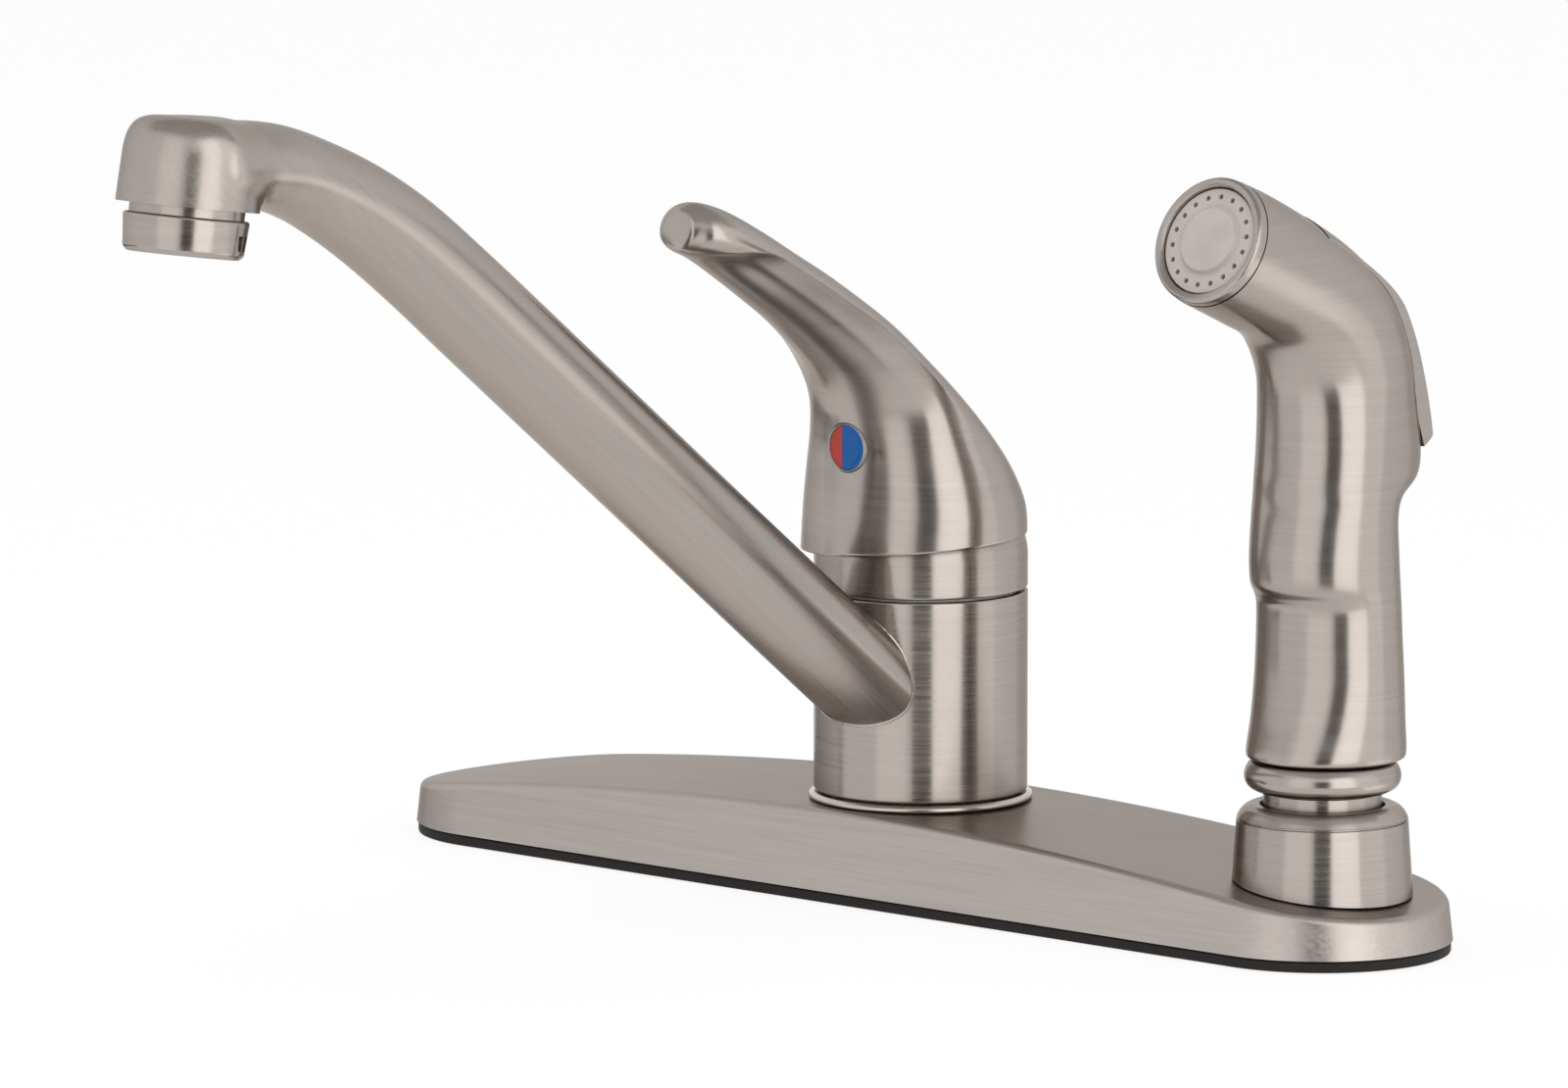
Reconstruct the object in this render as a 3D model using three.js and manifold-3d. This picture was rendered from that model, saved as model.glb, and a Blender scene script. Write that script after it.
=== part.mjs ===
// Single-handle kitchen faucet with a side spray, on one long deck plate.
//
// Millimetres, +Z up. The origin is on the underside of the deck gasket, on the axis of the faucet
// body. The spout and the lever point to the front, -Y, and the side spray stands at +X.

import * as THREE from "three";
import { LoftGeometry } from "three/addons/geometries/LoftGeometry.js";
import { mergeVertices } from "three/addons/utils/BufferGeometryUtils.js";
import Module from "manifold-3d";

const wasm = await Module();
wasm.setup();

// ---------------------------------------------------------------- driving dimensions

const GAP = 0.3; // between pieces that touch
const SLIVER = 0.02; // edges shorter than this are merged away
const HOLE_SPACING = 101.6; // sink holes, four inches apart

// Deck plate: a stadium with a crowned top.
const PLATE_HALF_LENGTH = 126.3;
const PLATE_HALF_WIDTH = 25.7;
const PLATE_HEIGHT = 18.2;
const PLATE_CROWN_RADIUS = 893;
const PLATE_WALL = 2.2;
const PLATE_DRAFT = 0.045; // inward lean of the side wall, per mm of height
const PLATE_EDGE = 1.6; // rounding between side wall and top
const GASKET_THICKNESS = 2;
const GASKET_WINDOW = { centre: 57, halfLength: 27, halfWidth: 17 };

// Faucet body and the parts on its axis.
const HUB_RADIUS = 20.85;
const HUB_BOTTOM = 20.1;
const HUB_TOP = 59.3;
const HUB_BORE = 17.3;
const TOWER_RADIUS = 16.9;
const BASE_RING_RADIUS = 21.8;
const SHANK_RADIUS = 14.5;
const SHANK_BORE = 11.2;
const SHANK_END = -42;
const FLANGE = { radius: 21.5, top: 6 };
const PIVOT_HEIGHT = 62; // the lever's lift axis
const CAP_BOTTOM = 59.9;
const CAP_TOP = 74;
const CAP_SHOULDER = 12.4; // radius of the bonnet's rounded shoulder
const CAP_SHOULDER_HEIGHT = 66; // where the shoulder begins
const HANDLE_CAVITY = 22.15; // ball-shaped hollow of the handle, round the lift axis

// Spout.
const SPOUT_REACH = 201;
const SPOUT_WALL = 2.1;
const OUTLET_HEIGHT = 151.7;
const OUTLET_TILT = THREE.MathUtils.degToRad(8.5);
const OUTLET_RADIUS = 13.2;
const OUTLET_BORE = 11;
const AERATOR_RADIUS = 11.6;

// Side spray.
const HOLDER_TOP = 28.3;
const HOLDER_RADIUS = 16.2;
const HOLDER_SHANK_RADIUS = 11.2;
const HOLDER_BORE = 9.2;
const SOCKET_BORE = 11.9;
const SPRAY_BORE = 9.3;
const SPRAY_FACE_TILT = THREE.MathUtils.degToRad(23);
const SPRAY_FACE_RADIUS = 12.3;
const SPRAY_FACE_CENTRE = new THREE.Vector3(0, -34.9, 139);
const SPRAY_HOLES = 18;
const TRIGGER_HALF_WIDTH = 9;
const TRIGGER_LUG_HALF_WIDTH = 3;
const TRIGGER_PIN = { y: -8.2, z: 131, radius: 1.1, halfLength: 6.5 };
const PLUNGER_HEIGHT = 102;

// Fastening below the deck.
const DECK_ALLOWANCE = 10; // thickness of the sink deck that the nuts are set for
const WASHER_THICKNESS = 1.5;
const NUT_HEIGHT = 8;
const STUD_RADIUS = 3;

// ---------------------------------------------------------------- finishes

const finish = (color, roughness, metalness) => (
  new THREE.MeshStandardMaterial({ color, roughness, metalness })
);

const NICKEL = finish(0xa8a19c, 0.34, 1);
const BRIGHT_METAL = finish(0xc9c5c1, 0.2, 1);
const BRASS = finish(0xb5954f, 0.4, 1);
const STEEL = finish(0x9a9c9e, 0.35, 1);
const RUBBER = finish(0x322d2a, 0.8, 0);
const BLACK_PLASTIC = finish(0x2b2826, 0.6, 0);
const WHITE_PLASTIC = finish(0xe4e2dc, 0.5, 0);
const GREY_PLASTIC = finish(0xb4afab, 0.5, 0);
const CERAMIC = finish(0xf0efec, 0.3, 0);
const RED_PLASTIC = finish(0xb03a35, 0.4, 0);
const BLUE_PLASTIC = finish(0x1d62b5, 0.4, 0);

// ---------------------------------------------------------------- geometry helpers

/** A closed geometry as a solid that can be cut and joined; faces are turned outwards. */
function solid(geometry) {
  const plain = geometry.index ? geometry.toNonIndexed() : geometry.clone();
  const bare = new THREE.BufferGeometry();
  bare.setAttribute("position", plain.getAttribute("position"));
  const merged = mergeVertices(bare, 1e-4);
  const vertProperties = merged.attributes.position.array;
  const triVerts = new Uint32Array(merged.index.array);
  const made = new wasm.Manifold(new wasm.Mesh({ numProp: 3, vertProperties, triVerts }));
  if (made.volume() >= 0) return made;
  return new wasm.Manifold(new wasm.Mesh({ numProp: 3, vertProperties, triVerts: triVerts.reverse() }));
}

/** A solid's surface as a three.js geometry. */
function geometryOf(body) {
  const { vertProperties, triVerts } = body.getMesh();
  const geometry = new THREE.BufferGeometry();
  geometry.setAttribute("position", new THREE.BufferAttribute(new Float32Array(vertProperties), 3));
  geometry.setIndex(new THREE.BufferAttribute(new Uint32Array(triVerts), 1));
  geometry.computeVertexNormals();
  return geometry;
}

/** Joins any number of solids. */
const join = (...bodies) => bodies.reduce((all, body) => all.add(body));

/** Cuts every later solid out of the first. */
const cut = (body, ...tools) => tools.reduce((rest, tool) => rest.subtract(tool), body);

/** A solid of revolution about Z from [radius, height] corners; the outline closes on itself. */
function turned(outline, segments = 24) {
  const points = [...outline, outline[0]].map(([radius, height]) => new THREE.Vector2(radius, height));
  return solid(new THREE.LatheGeometry(points, segments).rotateX(Math.PI / 2));
}

/** A plain ring about Z. */
const ring = (inner, outer, low, high, segments = 24) =>
  turned([[inner, low], [outer, low], [outer, high], [inner, high]], segments);

/** An O-ring about Z. */
function oRing(radius, thickness, height) {
  return solid(new THREE.TorusGeometry(radius, thickness, 5, 20).translate(0, 0, height));
}

/** A cylinder that runs from one point to another. */
function rod(from, to, radius, segments = 20) {
  const axis = new THREE.Vector3().subVectors(to, from);
  const geometry = new THREE.CylinderGeometry(radius, radius, axis.length(), segments);
  const turn = new THREE.Quaternion().setFromUnitVectors(new THREE.Vector3(0, 1, 0), axis.normalize());
  geometry.applyQuaternion(turn);
  const middle = new THREE.Vector3().addVectors(from, to).multiplyScalar(0.5);
  return solid(geometry.translate(middle.x, middle.y, middle.z));
}

/** A cylinder along Y, between two depths, at a height. */
const alongY = (from, to, height, radius, segments = 20) =>
  rod(new THREE.Vector3(0, from, height), new THREE.Vector3(0, to, height), radius, segments);

/** An upright cylinder. */
const post = (x, y, low, high, radius, segments = 20) =>
  rod(new THREE.Vector3(x, y, low), new THREE.Vector3(x, y, high), radius, segments);

/** A box between two corners. */
function block(low, high) {
  const size = low.map((value, axis) => high[axis] - value);
  const centre = low.map((value, axis) => (high[axis] + value) / 2);
  return solid(new THREE.BoxGeometry(...size).translate(...centre));
}

/** A side profile in (y, z), as wide as 2 * halfWidth along X. */
function sideProfile(corners, halfWidth) {
  const shape = new THREE.Shape(corners.map(([y, z]) => new THREE.Vector2(y, z)));
  const options = { depth: 2 * halfWidth, bevelEnabled: false };
  const geometry = new THREE.ExtrudeGeometry(shape, options).translate(0, 0, -halfWidth);
  return solid(geometry.rotateX(Math.PI / 2).rotateZ(Math.PI / 2));
}

/** A hexagonal ring about Z. */
function hexRing(bore, acrossFlats, low, high) {
  const corner = acrossFlats / Math.sqrt(3);
  const hexagon = turned([[0, low], [corner, low], [corner, high], [0, high]], 6);
  return cut(hexagon, post(0, 0, low - 1, high + 1, bore));
}

/** Rows of numbers, read at even steps along a smooth curve through them. */
function smoothRows(rows, count) {
  const places = rows.map((row, index) => index);
  const curve = new THREE.CubicInterpolant(places, rows.flat(), rows[0].length);
  const read = (step) => Array.from(curve.evaluate(((rows.length - 1) * step) / (count - 1)));
  return Array.from({ length: count }, (unused, step) => read(step));
}

/**
 * One closed section of a loft, mirror-symmetric in X. It runs from its two widest points, at
 * (+-width, mid), round by the front point and by the back point, each a superellipse quarter.
 */
function section({ front, mid, back, width, lip = 0, frontPower = 2, backPower = 2 }, count) {
  return Array.from({ length: count }, (unused, index) => {
    const angle = (2 * Math.PI * index) / count;
    const isBack = Math.sin(angle) >= 0;
    const power = 2 / (isBack ? backPower : frontPower);
    const across = Math.sign(Math.cos(angle)) * Math.abs(Math.cos(angle)) ** power;
    const reach = Math.abs(Math.sin(angle)) ** power;
    const end = isBack ? back : front;
    const inset = isBack || reach < 1e-9 ? 0 : lip;
    return new THREE.Vector3(
      (width - inset) * across,
      mid[0] + (end[0] - mid[0]) * reach,
      mid[1] + (end[1] - mid[1]) * reach,
    );
  });
}

/** A closed loft through sections. */
const loft = (sections) => solid(new LoftGeometry(sections, { capStart: true, capEnd: true }));

const group = new THREE.Group();
group.name = "side_spray_faucet";

/** Adds a named mesh to a group, without the slivers that cuts leave. */
function place(name, body, material, parent) {
  const mesh = new THREE.Mesh(geometryOf(body.simplify(SLIVER)), material);
  mesh.name = name;
  parent.add(mesh);
}

// ---------------------------------------------------------------- deck plate

/** Height of the deck plate's top at a distance x from the faucet axis. */
const crown = (x) => PLATE_HEIGHT - (x * x) / (2 * PLATE_CROWN_RADIUS);

/** Points round the plate's outline, drawn in by an inset. Each has a twin at the same x. */
function plateOutline(inset) {
  const radius = PLATE_HALF_WIDTH - inset;
  const straight = PLATE_HALF_LENGTH - PLATE_HALF_WIDTH;
  const steps = 8;
  const arcSteps = 14;
  const points = [];
  for (let i = 0; i < steps; i++) points.push([-straight + (2 * straight * i) / steps, -radius]);
  for (let i = 0; i < arcSteps; i++) {
    const angle = -Math.PI / 2 + (Math.PI * i) / arcSteps;
    points.push([straight + radius * Math.cos(angle), radius * Math.sin(angle)]);
  }
  return [...points, ...points.map(([x, y]) => [-x, -y])];
}

/** A solid with the plate's outline and crown, as wide as the inset leaves and as high as the drop. */
function plateSolid(bottom, inset, drop, edge) {
  const straight = PLATE_HALF_LENGTH - PLATE_HALF_WIDTH;
  const lean = PLATE_DRAFT * (PLATE_HEIGHT - bottom);
  const level = (extra, height) => (
    plateOutline(inset + extra).map(([x, y]) => new THREE.Vector3(x, y, height(x)))
  );
  const ridge = plateOutline(inset).map(([x]) => {
    const held = THREE.MathUtils.clamp(x, -straight, straight);
    return new THREE.Vector3(held, 0, crown(held) - drop);
  });
  return solid(new LoftGeometry([
    level(0, () => bottom),
    level(lean, (x) => crown(x) - drop - edge),
    level(lean + 0.3 * edge, (x) => crown(x) - drop - 0.3 * edge),
    level(lean + edge, (x) => crown(x) - drop),
    ridge,
  ], { capStart: true }));
}

/** The pressed metal shell with its stud boss and its holes. */
function deckPlate() {
  const bottom = GASKET_THICKNESS + GAP;
  const shell = cut(
    plateSolid(bottom, 0, 0, PLATE_EDGE),
    plateSolid(bottom - 1, PLATE_WALL, PLATE_WALL, PLATE_EDGE),
  );
  const boss = post(-HOLE_SPACING, 0, bottom, crown(HOLE_SPACING) - 1, 2 * STUD_RADIUS);
  return cut(
    join(shell, boss),
    post(0, 0, 0, 30, TOWER_RADIUS + 0.7, 24),
    post(HOLE_SPACING, 0, 0, 30, HOLDER_SHANK_RADIUS + 0.5),
    post(-HOLE_SPACING, 0, 0, 9, STUD_RADIUS + GAP, 16),
  );
}

/** The black moulded gasket plate between the shell and the sink, with its two windows. */
function gasket() {
  const radius = PLATE_HALF_WIDTH - 0.35;
  const straight = PLATE_HALF_LENGTH - PLATE_HALF_WIDTH;
  const { centre, halfLength, halfWidth } = GASKET_WINDOW;
  const window = (side) => block(
    [side * centre - halfLength, -halfWidth, -1],
    [side * centre + halfLength, halfWidth, GASKET_THICKNESS + 1],
  );
  return cut(
    join(
      post(straight, 0, 0, GASKET_THICKNESS, radius, 28),
      post(-straight, 0, 0, GASKET_THICKNESS, radius, 28),
      block([-straight, -radius, 0], [straight, radius, GASKET_THICKNESS]),
    ),
    post(0, 0, -1, GASKET_THICKNESS + 1, SHANK_RADIUS + 0.6),
    post(HOLE_SPACING, 0, -1, GASKET_THICKNESS + 1, HOLDER_SHANK_RADIUS + 0.6),
    post(-HOLE_SPACING, 0, -1, GASKET_THICKNESS + 1, STUD_RADIUS + 0.6, 16),
    window(1),
    window(-1),
  );
}

const deck = new THREE.Group();
group.add(deck);
place("deck_plate", deckPlate(), NICKEL, deck);
place("deck_gasket", gasket(), BLACK_PLASTIC, deck);
place("base_ring", ring(TOWER_RADIUS + 0.4, BASE_RING_RADIUS, PLATE_HEIGHT + GAP, HUB_BOTTOM - 0.4, 36),
  BRIGHT_METAL, deck);

// ---------------------------------------------------------------- valve body

const LOWER_GROOVE = 25.5;
const UPPER_GROOVE = 45.5;
const GROOVE_WIDTH = 3;
const GROOVE_RADIUS = 14.6;
const WAIST_RADIUS = 14;
const POCKET_RADIUS = 13.2;
const POCKET_FLOOR = 49.9;
const TOWER_TOP = 66;
const PORT_RADIUS = 3.6;
const DIVERTER = { y: -7.5, radius: 4.2, low: 26, high: 40 };

/** Corners of a groove for an O-ring in the tower's side. */
const groove = (low) => [
  [TOWER_RADIUS, low],
  [GROOVE_RADIUS, low],
  [GROOVE_RADIUS, low + GROOVE_WIDTH],
  [TOWER_RADIUS, low + GROOVE_WIDTH],
];

/** The cast body: hollow shank, deck flange, and the tower that the spout turns on. */
function valveBody() {
  const flangeBottom = GASKET_THICKNESS + GAP;
  const outline = [
    [0, -2],
    [SHANK_BORE, -2],
    [SHANK_BORE, SHANK_END],
    [SHANK_RADIUS, SHANK_END],
    [SHANK_RADIUS, flangeBottom],
    [FLANGE.radius, flangeBottom],
    [FLANGE.radius, FLANGE.top],
    [TOWER_RADIUS, FLANGE.top],
    ...groove(LOWER_GROOVE),
    [TOWER_RADIUS, 31],
    [WAIST_RADIUS, 32.5],
    [WAIST_RADIUS, 41.5],
    [TOWER_RADIUS, 43],
    ...groove(UPPER_GROOVE),
    [TOWER_RADIUS, TOWER_TOP],
    [POCKET_RADIUS, TOWER_TOP],
    [POCKET_RADIUS, POCKET_FLOOR],
    [0, POCKET_FLOOR],
  ];
  const points = outline.map(([radius, height]) => new THREE.Vector2(radius, height));
  const casting = solid(new THREE.LatheGeometry(points, 20).rotateX(Math.PI / 2));
  const inlets = [-5.5, 5.5].map((x) => post(x, 3, -3, POCKET_FLOOR + 1, PORT_RADIUS, 8));
  const mixedWater = post(0, DIVERTER.y, DIVERTER.high - 1, POCKET_FLOOR + 1, PORT_RADIUS, 8);
  const diverterBore = post(0, DIVERTER.y, -3, DIVERTER.high, DIVERTER.radius, 16);
  const spoutPort = alongY(-7, -16, 37, 3, 12);
  return cut(casting, ...inlets, mixedWater, diverterBore, spoutPort);
}

const body = new THREE.Group();
group.add(body);
place("valve_body", valveBody(), BRASS, body);

for (const [name, low] of [["lower_hub_seal", LOWER_GROOVE], ["upper_hub_seal", UPPER_GROOVE]]) {
  place(name, oRing((GROOVE_RADIUS + HUB_BORE) / 2, 1.15, low + GROOVE_WIDTH / 2), RUBBER, body);
}
place("lower_swivel_washer", ring(HUB_BORE, 19.2, HUB_BOTTOM, HUB_BOTTOM + 1.6, 20), WHITE_PLASTIC, body);
place("upper_swivel_washer", ring(HUB_BORE, 19.2, HUB_TOP - 1.4, HUB_TOP + 0.3, 20), WHITE_PLASTIC, body);

// The diverter's seat is a bush in the lower end of its bore, open for the spray's water.
const diverterSeat = turned([[1.8, 20], [3.9, 20], [3.9, 26.5], [1.8, 26.5]], 12)
  .translate([0, DIVERTER.y, 0]);
place("diverter_seat", diverterSeat, WHITE_PLASTIC, body);

// The piston rests on its seat and lifts to send the water to the spout.
const diverterPiston = turned([[0, 26.8], [3.7, 26.8], [3.7, 29], [2.4, 30], [2.4, 35], [0, 35]], 12)
  .translate([0, DIVERTER.y, 0]);
place("diverter_piston", diverterPiston, RUBBER, body);

// ---------------------------------------------------------------- cartridge

const DISC_RADIUS = 9.4;
const HOUSING_BORE = 9.8;
const MOVING_DISC = { low: 55.2, high: 57.6, radius: 8.2 };
const STEM_HALF = 3;
const STEM_LENGTH = 33.5; // above the lift axis
const STEM_LEAN = THREE.MathUtils.degToRad(11); // forward, with the lever down
const TIP_HALF = 1.8;
const TIP_DEPTH = 5.4; // below the lift axis
const DISC_OFFSET = 1.05; // of the moving disc, with the lever down

/** Leans a solid forward with the stem; it is made upright, with the lift axis at height 0. */
function withStem(shape) {
  return solid(geometryOf(shape).rotateX(STEM_LEAN).translate(0, 0, PIVOT_HEIGHT));
}

/** Three water ports, cut through a disc of the cartridge. */
function threePorts(low, high, radius) {
  const places = [[-5.2, 2.4], [5.2, 2.4], [0, -5.6]];
  return places.map(([x, y]) => post(x, y, low - 1, high + 1, radius, 6));
}

const cartridgeBase = cut(
  turned([[0, 50.2], [12.8, 50.2], [12.8, 52.2], [0, 52.2]], 20),
  ...threePorts(50.2, 52.2, 2.2),
);
const fixedDisc = cut(
  turned([[0, 52.5], [DISC_RADIUS, 52.5], [DISC_RADIUS, 54.9], [0, 54.9]], 20),
  ...threePorts(52.5, 54.9, 2.2),
);
const movingDisc = cut(
  turned([
    [0, MOVING_DISC.low],
    [MOVING_DISC.radius, MOVING_DISC.low],
    [MOVING_DISC.radius, MOVING_DISC.high],
    [0, MOVING_DISC.high],
  ], 20),
  block([-TIP_HALF - 0.4, -TIP_HALF - 0.4, 56], [TIP_HALF + 0.4, TIP_HALF + 0.4, 60]),
).translate([0, DISC_OFFSET, 0]);
const cartridgeHousing = turned([
  [HOUSING_BORE, 52.5],
  [12.8, 52.5],
  [12.8, 54.5],
  [11, 54.5],
  [11, 68],
  [7.6, 68],
  [7.6, 66.8],
  [HOUSING_BORE, 66.8],
], 20);
const cartridgeNut = join(
  ring(11.4, 12.8, 54.8, 66.5, 20),
  hexRing(11.4, 24.4, 66.3, 70.3),
);

/** The rotor that carries the lever pin and turns inside the cartridge. */
const stemCarrier = cut(
  turned([[0, 58.1], [9.4, 58.1], [9.4, 66.3], [0, 66.3]], 20),
  block([-STEM_HALF - 0.4, -7.2, 57], [STEM_HALF + 0.4, 7.2, 68]),
  rod(new THREE.Vector3(-12, 0, PIVOT_HEIGHT), new THREE.Vector3(12, 0, PIVOT_HEIGHT), 1.5, 12),
);
const stemPin = rod(
  new THREE.Vector3(-8.6, 0, PIVOT_HEIGHT),
  new THREE.Vector3(8.6, 0, PIVOT_HEIGHT),
  1.2,
  12,
);

/** The square stem on the pin: its narrow tip drives the moving disc, its top holds the handle. */
const leverStem = withStem(cut(
  join(
    block([-TIP_HALF, -TIP_HALF, -TIP_DEPTH], [TIP_HALF, TIP_HALF, -2]),
    block([-STEM_HALF, -STEM_HALF, -2.6], [STEM_HALF, STEM_HALF, STEM_LENGTH]),
  ),
  rod(new THREE.Vector3(-6, 0, 0), new THREE.Vector3(6, 0, 0), 1.5, 12),
));

const cartridge = new THREE.Group();
body.add(cartridge);
place("cartridge_base", cartridgeBase, WHITE_PLASTIC, cartridge);
place("fixed_ceramic_disc", fixedDisc, CERAMIC, cartridge);
place("moving_ceramic_disc", movingDisc, CERAMIC, cartridge);
place("cartridge_housing", cartridgeHousing, WHITE_PLASTIC, cartridge);
place("cartridge_nut", cartridgeNut, BRASS, cartridge);
place("stem_carrier", stemCarrier, GREY_PLASTIC, cartridge);
place("stem_pin", stemPin, STEEL, cartridge);
place("lever_stem", leverStem, STEEL, cartridge);

// ---------------------------------------------------------------- bonnet cap

/** The domed cap that screws on the tower and keeps the spout down. */
function bonnetCap() {
  const wall = 2;
  const shoulderCentre = HUB_RADIUS - CAP_SHOULDER;
  const shoulder = (radius, top) => {
    const last = Math.asin((top - CAP_SHOULDER_HEIGHT) / radius);
    const steps = 4;
    return Array.from({ length: steps + 1 }, (unused, i) => {
      const angle = (last * i) / steps;
      return [shoulderCentre + radius * Math.cos(angle), CAP_SHOULDER_HEIGHT + radius * Math.sin(angle)];
    });
  };
  const outside = shoulder(CAP_SHOULDER, CAP_TOP);
  const inside = shoulder(CAP_SHOULDER - wall, CAP_TOP - wall);
  return turned([
    [HUB_BORE, CAP_BOTTOM],
    [HUB_RADIUS - 0.3, CAP_BOTTOM],
    [HUB_RADIUS, CAP_BOTTOM + 0.3],
    ...outside,
    [13, CAP_TOP],
    [13, CAP_TOP - wall],
    ...inside.reverse(),
    [HUB_BORE, TOWER_TOP - 1],
  ], 32);
}
place("bonnet_cap", bonnetCap(), NICKEL, body);

// ---------------------------------------------------------------- handle

// Sections of the handle from the skirt's lower edge to the lever's tip. Each row gives the front
// (or underside) point, the widest point and the back (or top) point in (y, z), the half width,
// and how far the side rim overhangs the underside.
const HANDLE_SECTIONS = [
  [-23, 65.5, -2.1, 65.5, 17.6, 65.5, 23, 0],
  [-22.7, 71, -1.8, 71, 18.7, 71, 22.9, 0],
  [-22.1, 77, -2, 77, 18, 77, 22.6, 0],
  [-21.7, 83.5, -3.5, 84, 14.2, 84, 21.2, 0],
  [-21.5, 90, -6.7, 91.1, 8.6, 90.8, 19.4, 0.2],
  [-22.3, 96.6, -11.8, 98.8, 1.6, 97.4, 17.8, 0.6],
  [-25.8, 102.6, -18.8, 106.1, -7.4, 105.3, 16.4, 0.9],
  [-32, 108.5, -27.1, 113.4, -18.9, 114.8, 14.9, 1],
  [-40.3, 114.9, -37.2, 120.1, -33.6, 124.5, 13.2, 1],
  [-49.5, 120.8, -46.6, 125.8, -44.1, 130.4, 12, 1],
  [-57.7, 125.8, -55, 130.4, -52.9, 135.4, 10.9, 1],
  [-63.8, 129.1, -61.4, 133.2, -60, 139, 9.5, 0.8],
  [-68.1, 130.8, -66.5, 135.2, -65.3, 140.5, 7.4, 0.5],
  [-69.9, 131.7, -69.3, 135.8, -68.6, 139.8, 4.3, 0.2],
];
const HANDLE_RINGS = 25;
const HANDLE_SIDES = 26;
// The skirt ends at a plane through this height on the axis, tilted by these two small angles.
const SKIRT_HEIGHT = 69;
const SKIRT_TILT_X = 0.05;
const SKIRT_TILT_Y = -0.07;
const BUTTON = { face: -21.9, back: -19.6, z: 89, radius: 4.65 };
const INDEX_SPLIT = -1.1; // where the red half meets the blue half
const SCREW_HEIGHT = 30.6; // above the lift axis, along the stem
const SCREW_RADIUS = 2;

/** The outer form of the handle, skirt and lever in one. */
function handleForm() {
  const rows = smoothRows(HANDLE_SECTIONS, HANDLE_RINGS);
  return loft(rows.map(([fy, fz, my, mz, by, bz, width, lip]) => section({
    front: [fy, fz], mid: [my, mz], back: [by, bz], width, lip,
  }, HANDLE_SIDES)));
}

/** The handle: hollow over the bonnet, with a square socket for the stem and a screw hole. */
function handleShell() {
  const cavity = solid(new THREE.SphereGeometry(HANDLE_CAVITY, 24, 14).rotateX(Math.PI / 2)
    .translate(0, 0, PIVOT_HEIGHT));
  const tiltedBase = solid(new THREE.BoxGeometry(80, 80, 20).translate(0, 0, -10).rotateX(SKIRT_TILT_X)
    .rotateY(SKIRT_TILT_Y).translate(0, 0, SKIRT_HEIGHT));
  const socket = withStem(block(
    [-STEM_HALF - GAP, -STEM_HALF - GAP, 15],
    [STEM_HALF + GAP, STEM_HALF + GAP, STEM_LENGTH + GAP],
  ));
  const screwHole = withStem(alongY(-2, -15.5, SCREW_HEIGHT, SCREW_RADIUS + GAP, 14));
  const buttonRecess = alongY(-40, BUTTON.back + GAP, BUTTON.z, BUTTON.radius + GAP, 24);
  return cut(handleForm(), cavity, tiltedBase, socket, screwHole, buttonRecess);
}

/** One part of the round index mark, between two limits in X. */
function indexPart(low, high) {
  const disc = alongY(BUTTON.face, BUTTON.face + 0.8, BUTTON.z, BUTTON.radius - 0.7, 24);
  return disc.intersect(block([low, -30, 80], [high, 0, 100]));
}

const handle = new THREE.Group();
group.add(handle);
place("handle", handleShell(), NICKEL, handle);
const handleScrew = cut(
  alongY(-STEM_HALF - GAP, -13, SCREW_HEIGHT, SCREW_RADIUS, 14),
  alongY(-10.5, -14, SCREW_HEIGHT, 1.1, 6),
);
const indexButton = cut(
  alongY(BUTTON.face, BUTTON.back, BUTTON.z, BUTTON.radius, 24),
  alongY(BUTTON.face - 1, BUTTON.face + 1.1, BUTTON.z, BUTTON.radius - 0.4, 24),
);
place("handle_screw", withStem(handleScrew), STEEL, handle);
place("index_button", indexButton, WHITE_PLASTIC, handle);
place("index_cold", indexPart(INDEX_SPLIT + 0.15, 9), BLUE_PLASTIC, handle);
place("index_hot", indexPart(-9, INDEX_SPLIT - 0.15), RED_PLASTIC, handle);

// ---------------------------------------------------------------- spout

// Centre line of the arm in (y, z), from inside the hub to the outlet, with the section's half
// width, half height and lean; the lean turns the section square to the centre line.
const ARM_ANGLE = THREE.MathUtils.degToRad(37.1);
const SPOUT_SECTIONS = [
  [-8, 36.3, 37.1, 12.7, 8.9],
  [-38.1, 59, 37.1, 12.7, 8.9],
  [-68.1, 81.7, 37.1, 12.7, 8.8],
  [-98.1, 104.4, 37.1, 12.7, 8.8],
  [-122.1, 122.6, 37.1, 12.6, 8.8],
  [-136, 133.1, 36, 12.5, 8.7],
  [-147.9, 141.6, 33, 12.4, 8.7],
  [-159, 148.3, 28.5, 12.3, 8.4],
  [-170, 153.6, 22, 12.2, 8],
  [-181, 157.3, 13.5, 12.4, 8],
  [-192, 159, 7, 12.5, 8],
  [-199, 159.6, 3, 12.1, 7.8],
];
const SPOUT_RINGS = 17;

/** The arm's form, drawn in by a wall thickness. */
function spoutArm(inset, rings, sides) {
  const rows = smoothRows(SPOUT_SECTIONS, rings);
  return loft(rows.map(([y, z, lean, width, height]) => {
    const angle = THREE.MathUtils.degToRad(lean);
    const rise = [Math.sin(angle) * (height - inset), Math.cos(angle) * (height - inset)];
    return section({
      front: [y - rise[0], z - rise[1]],
      mid: [y, z],
      back: [y + rise[0], z + rise[1]],
      width: width - inset,
      frontPower: 2.1,
      backPower: 2.1,
    }, sides);
  }));
}

/** The boss that holds the aerator, about its own axis, with its lower face at height 0. */
const outletBoss = turned([
  [0, 0],
  [OUTLET_RADIUS, 0],
  [OUTLET_RADIUS - 0.4, 10],
  [12.3, 12.8],
  [11.3, 14.8],
  [9.8, 16],
  [7.4, 16.6],
  [0, 16.7],
], 32);

/** Turns a solid made about the outlet's own axis into the spout's frame. */
function atOutlet(shape) {
  const geometry = geometryOf(shape);
  geometry.rotateX(-OUTLET_TILT).translate(0, -SPOUT_REACH, OUTLET_HEIGHT);
  return solid(geometry);
}

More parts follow.
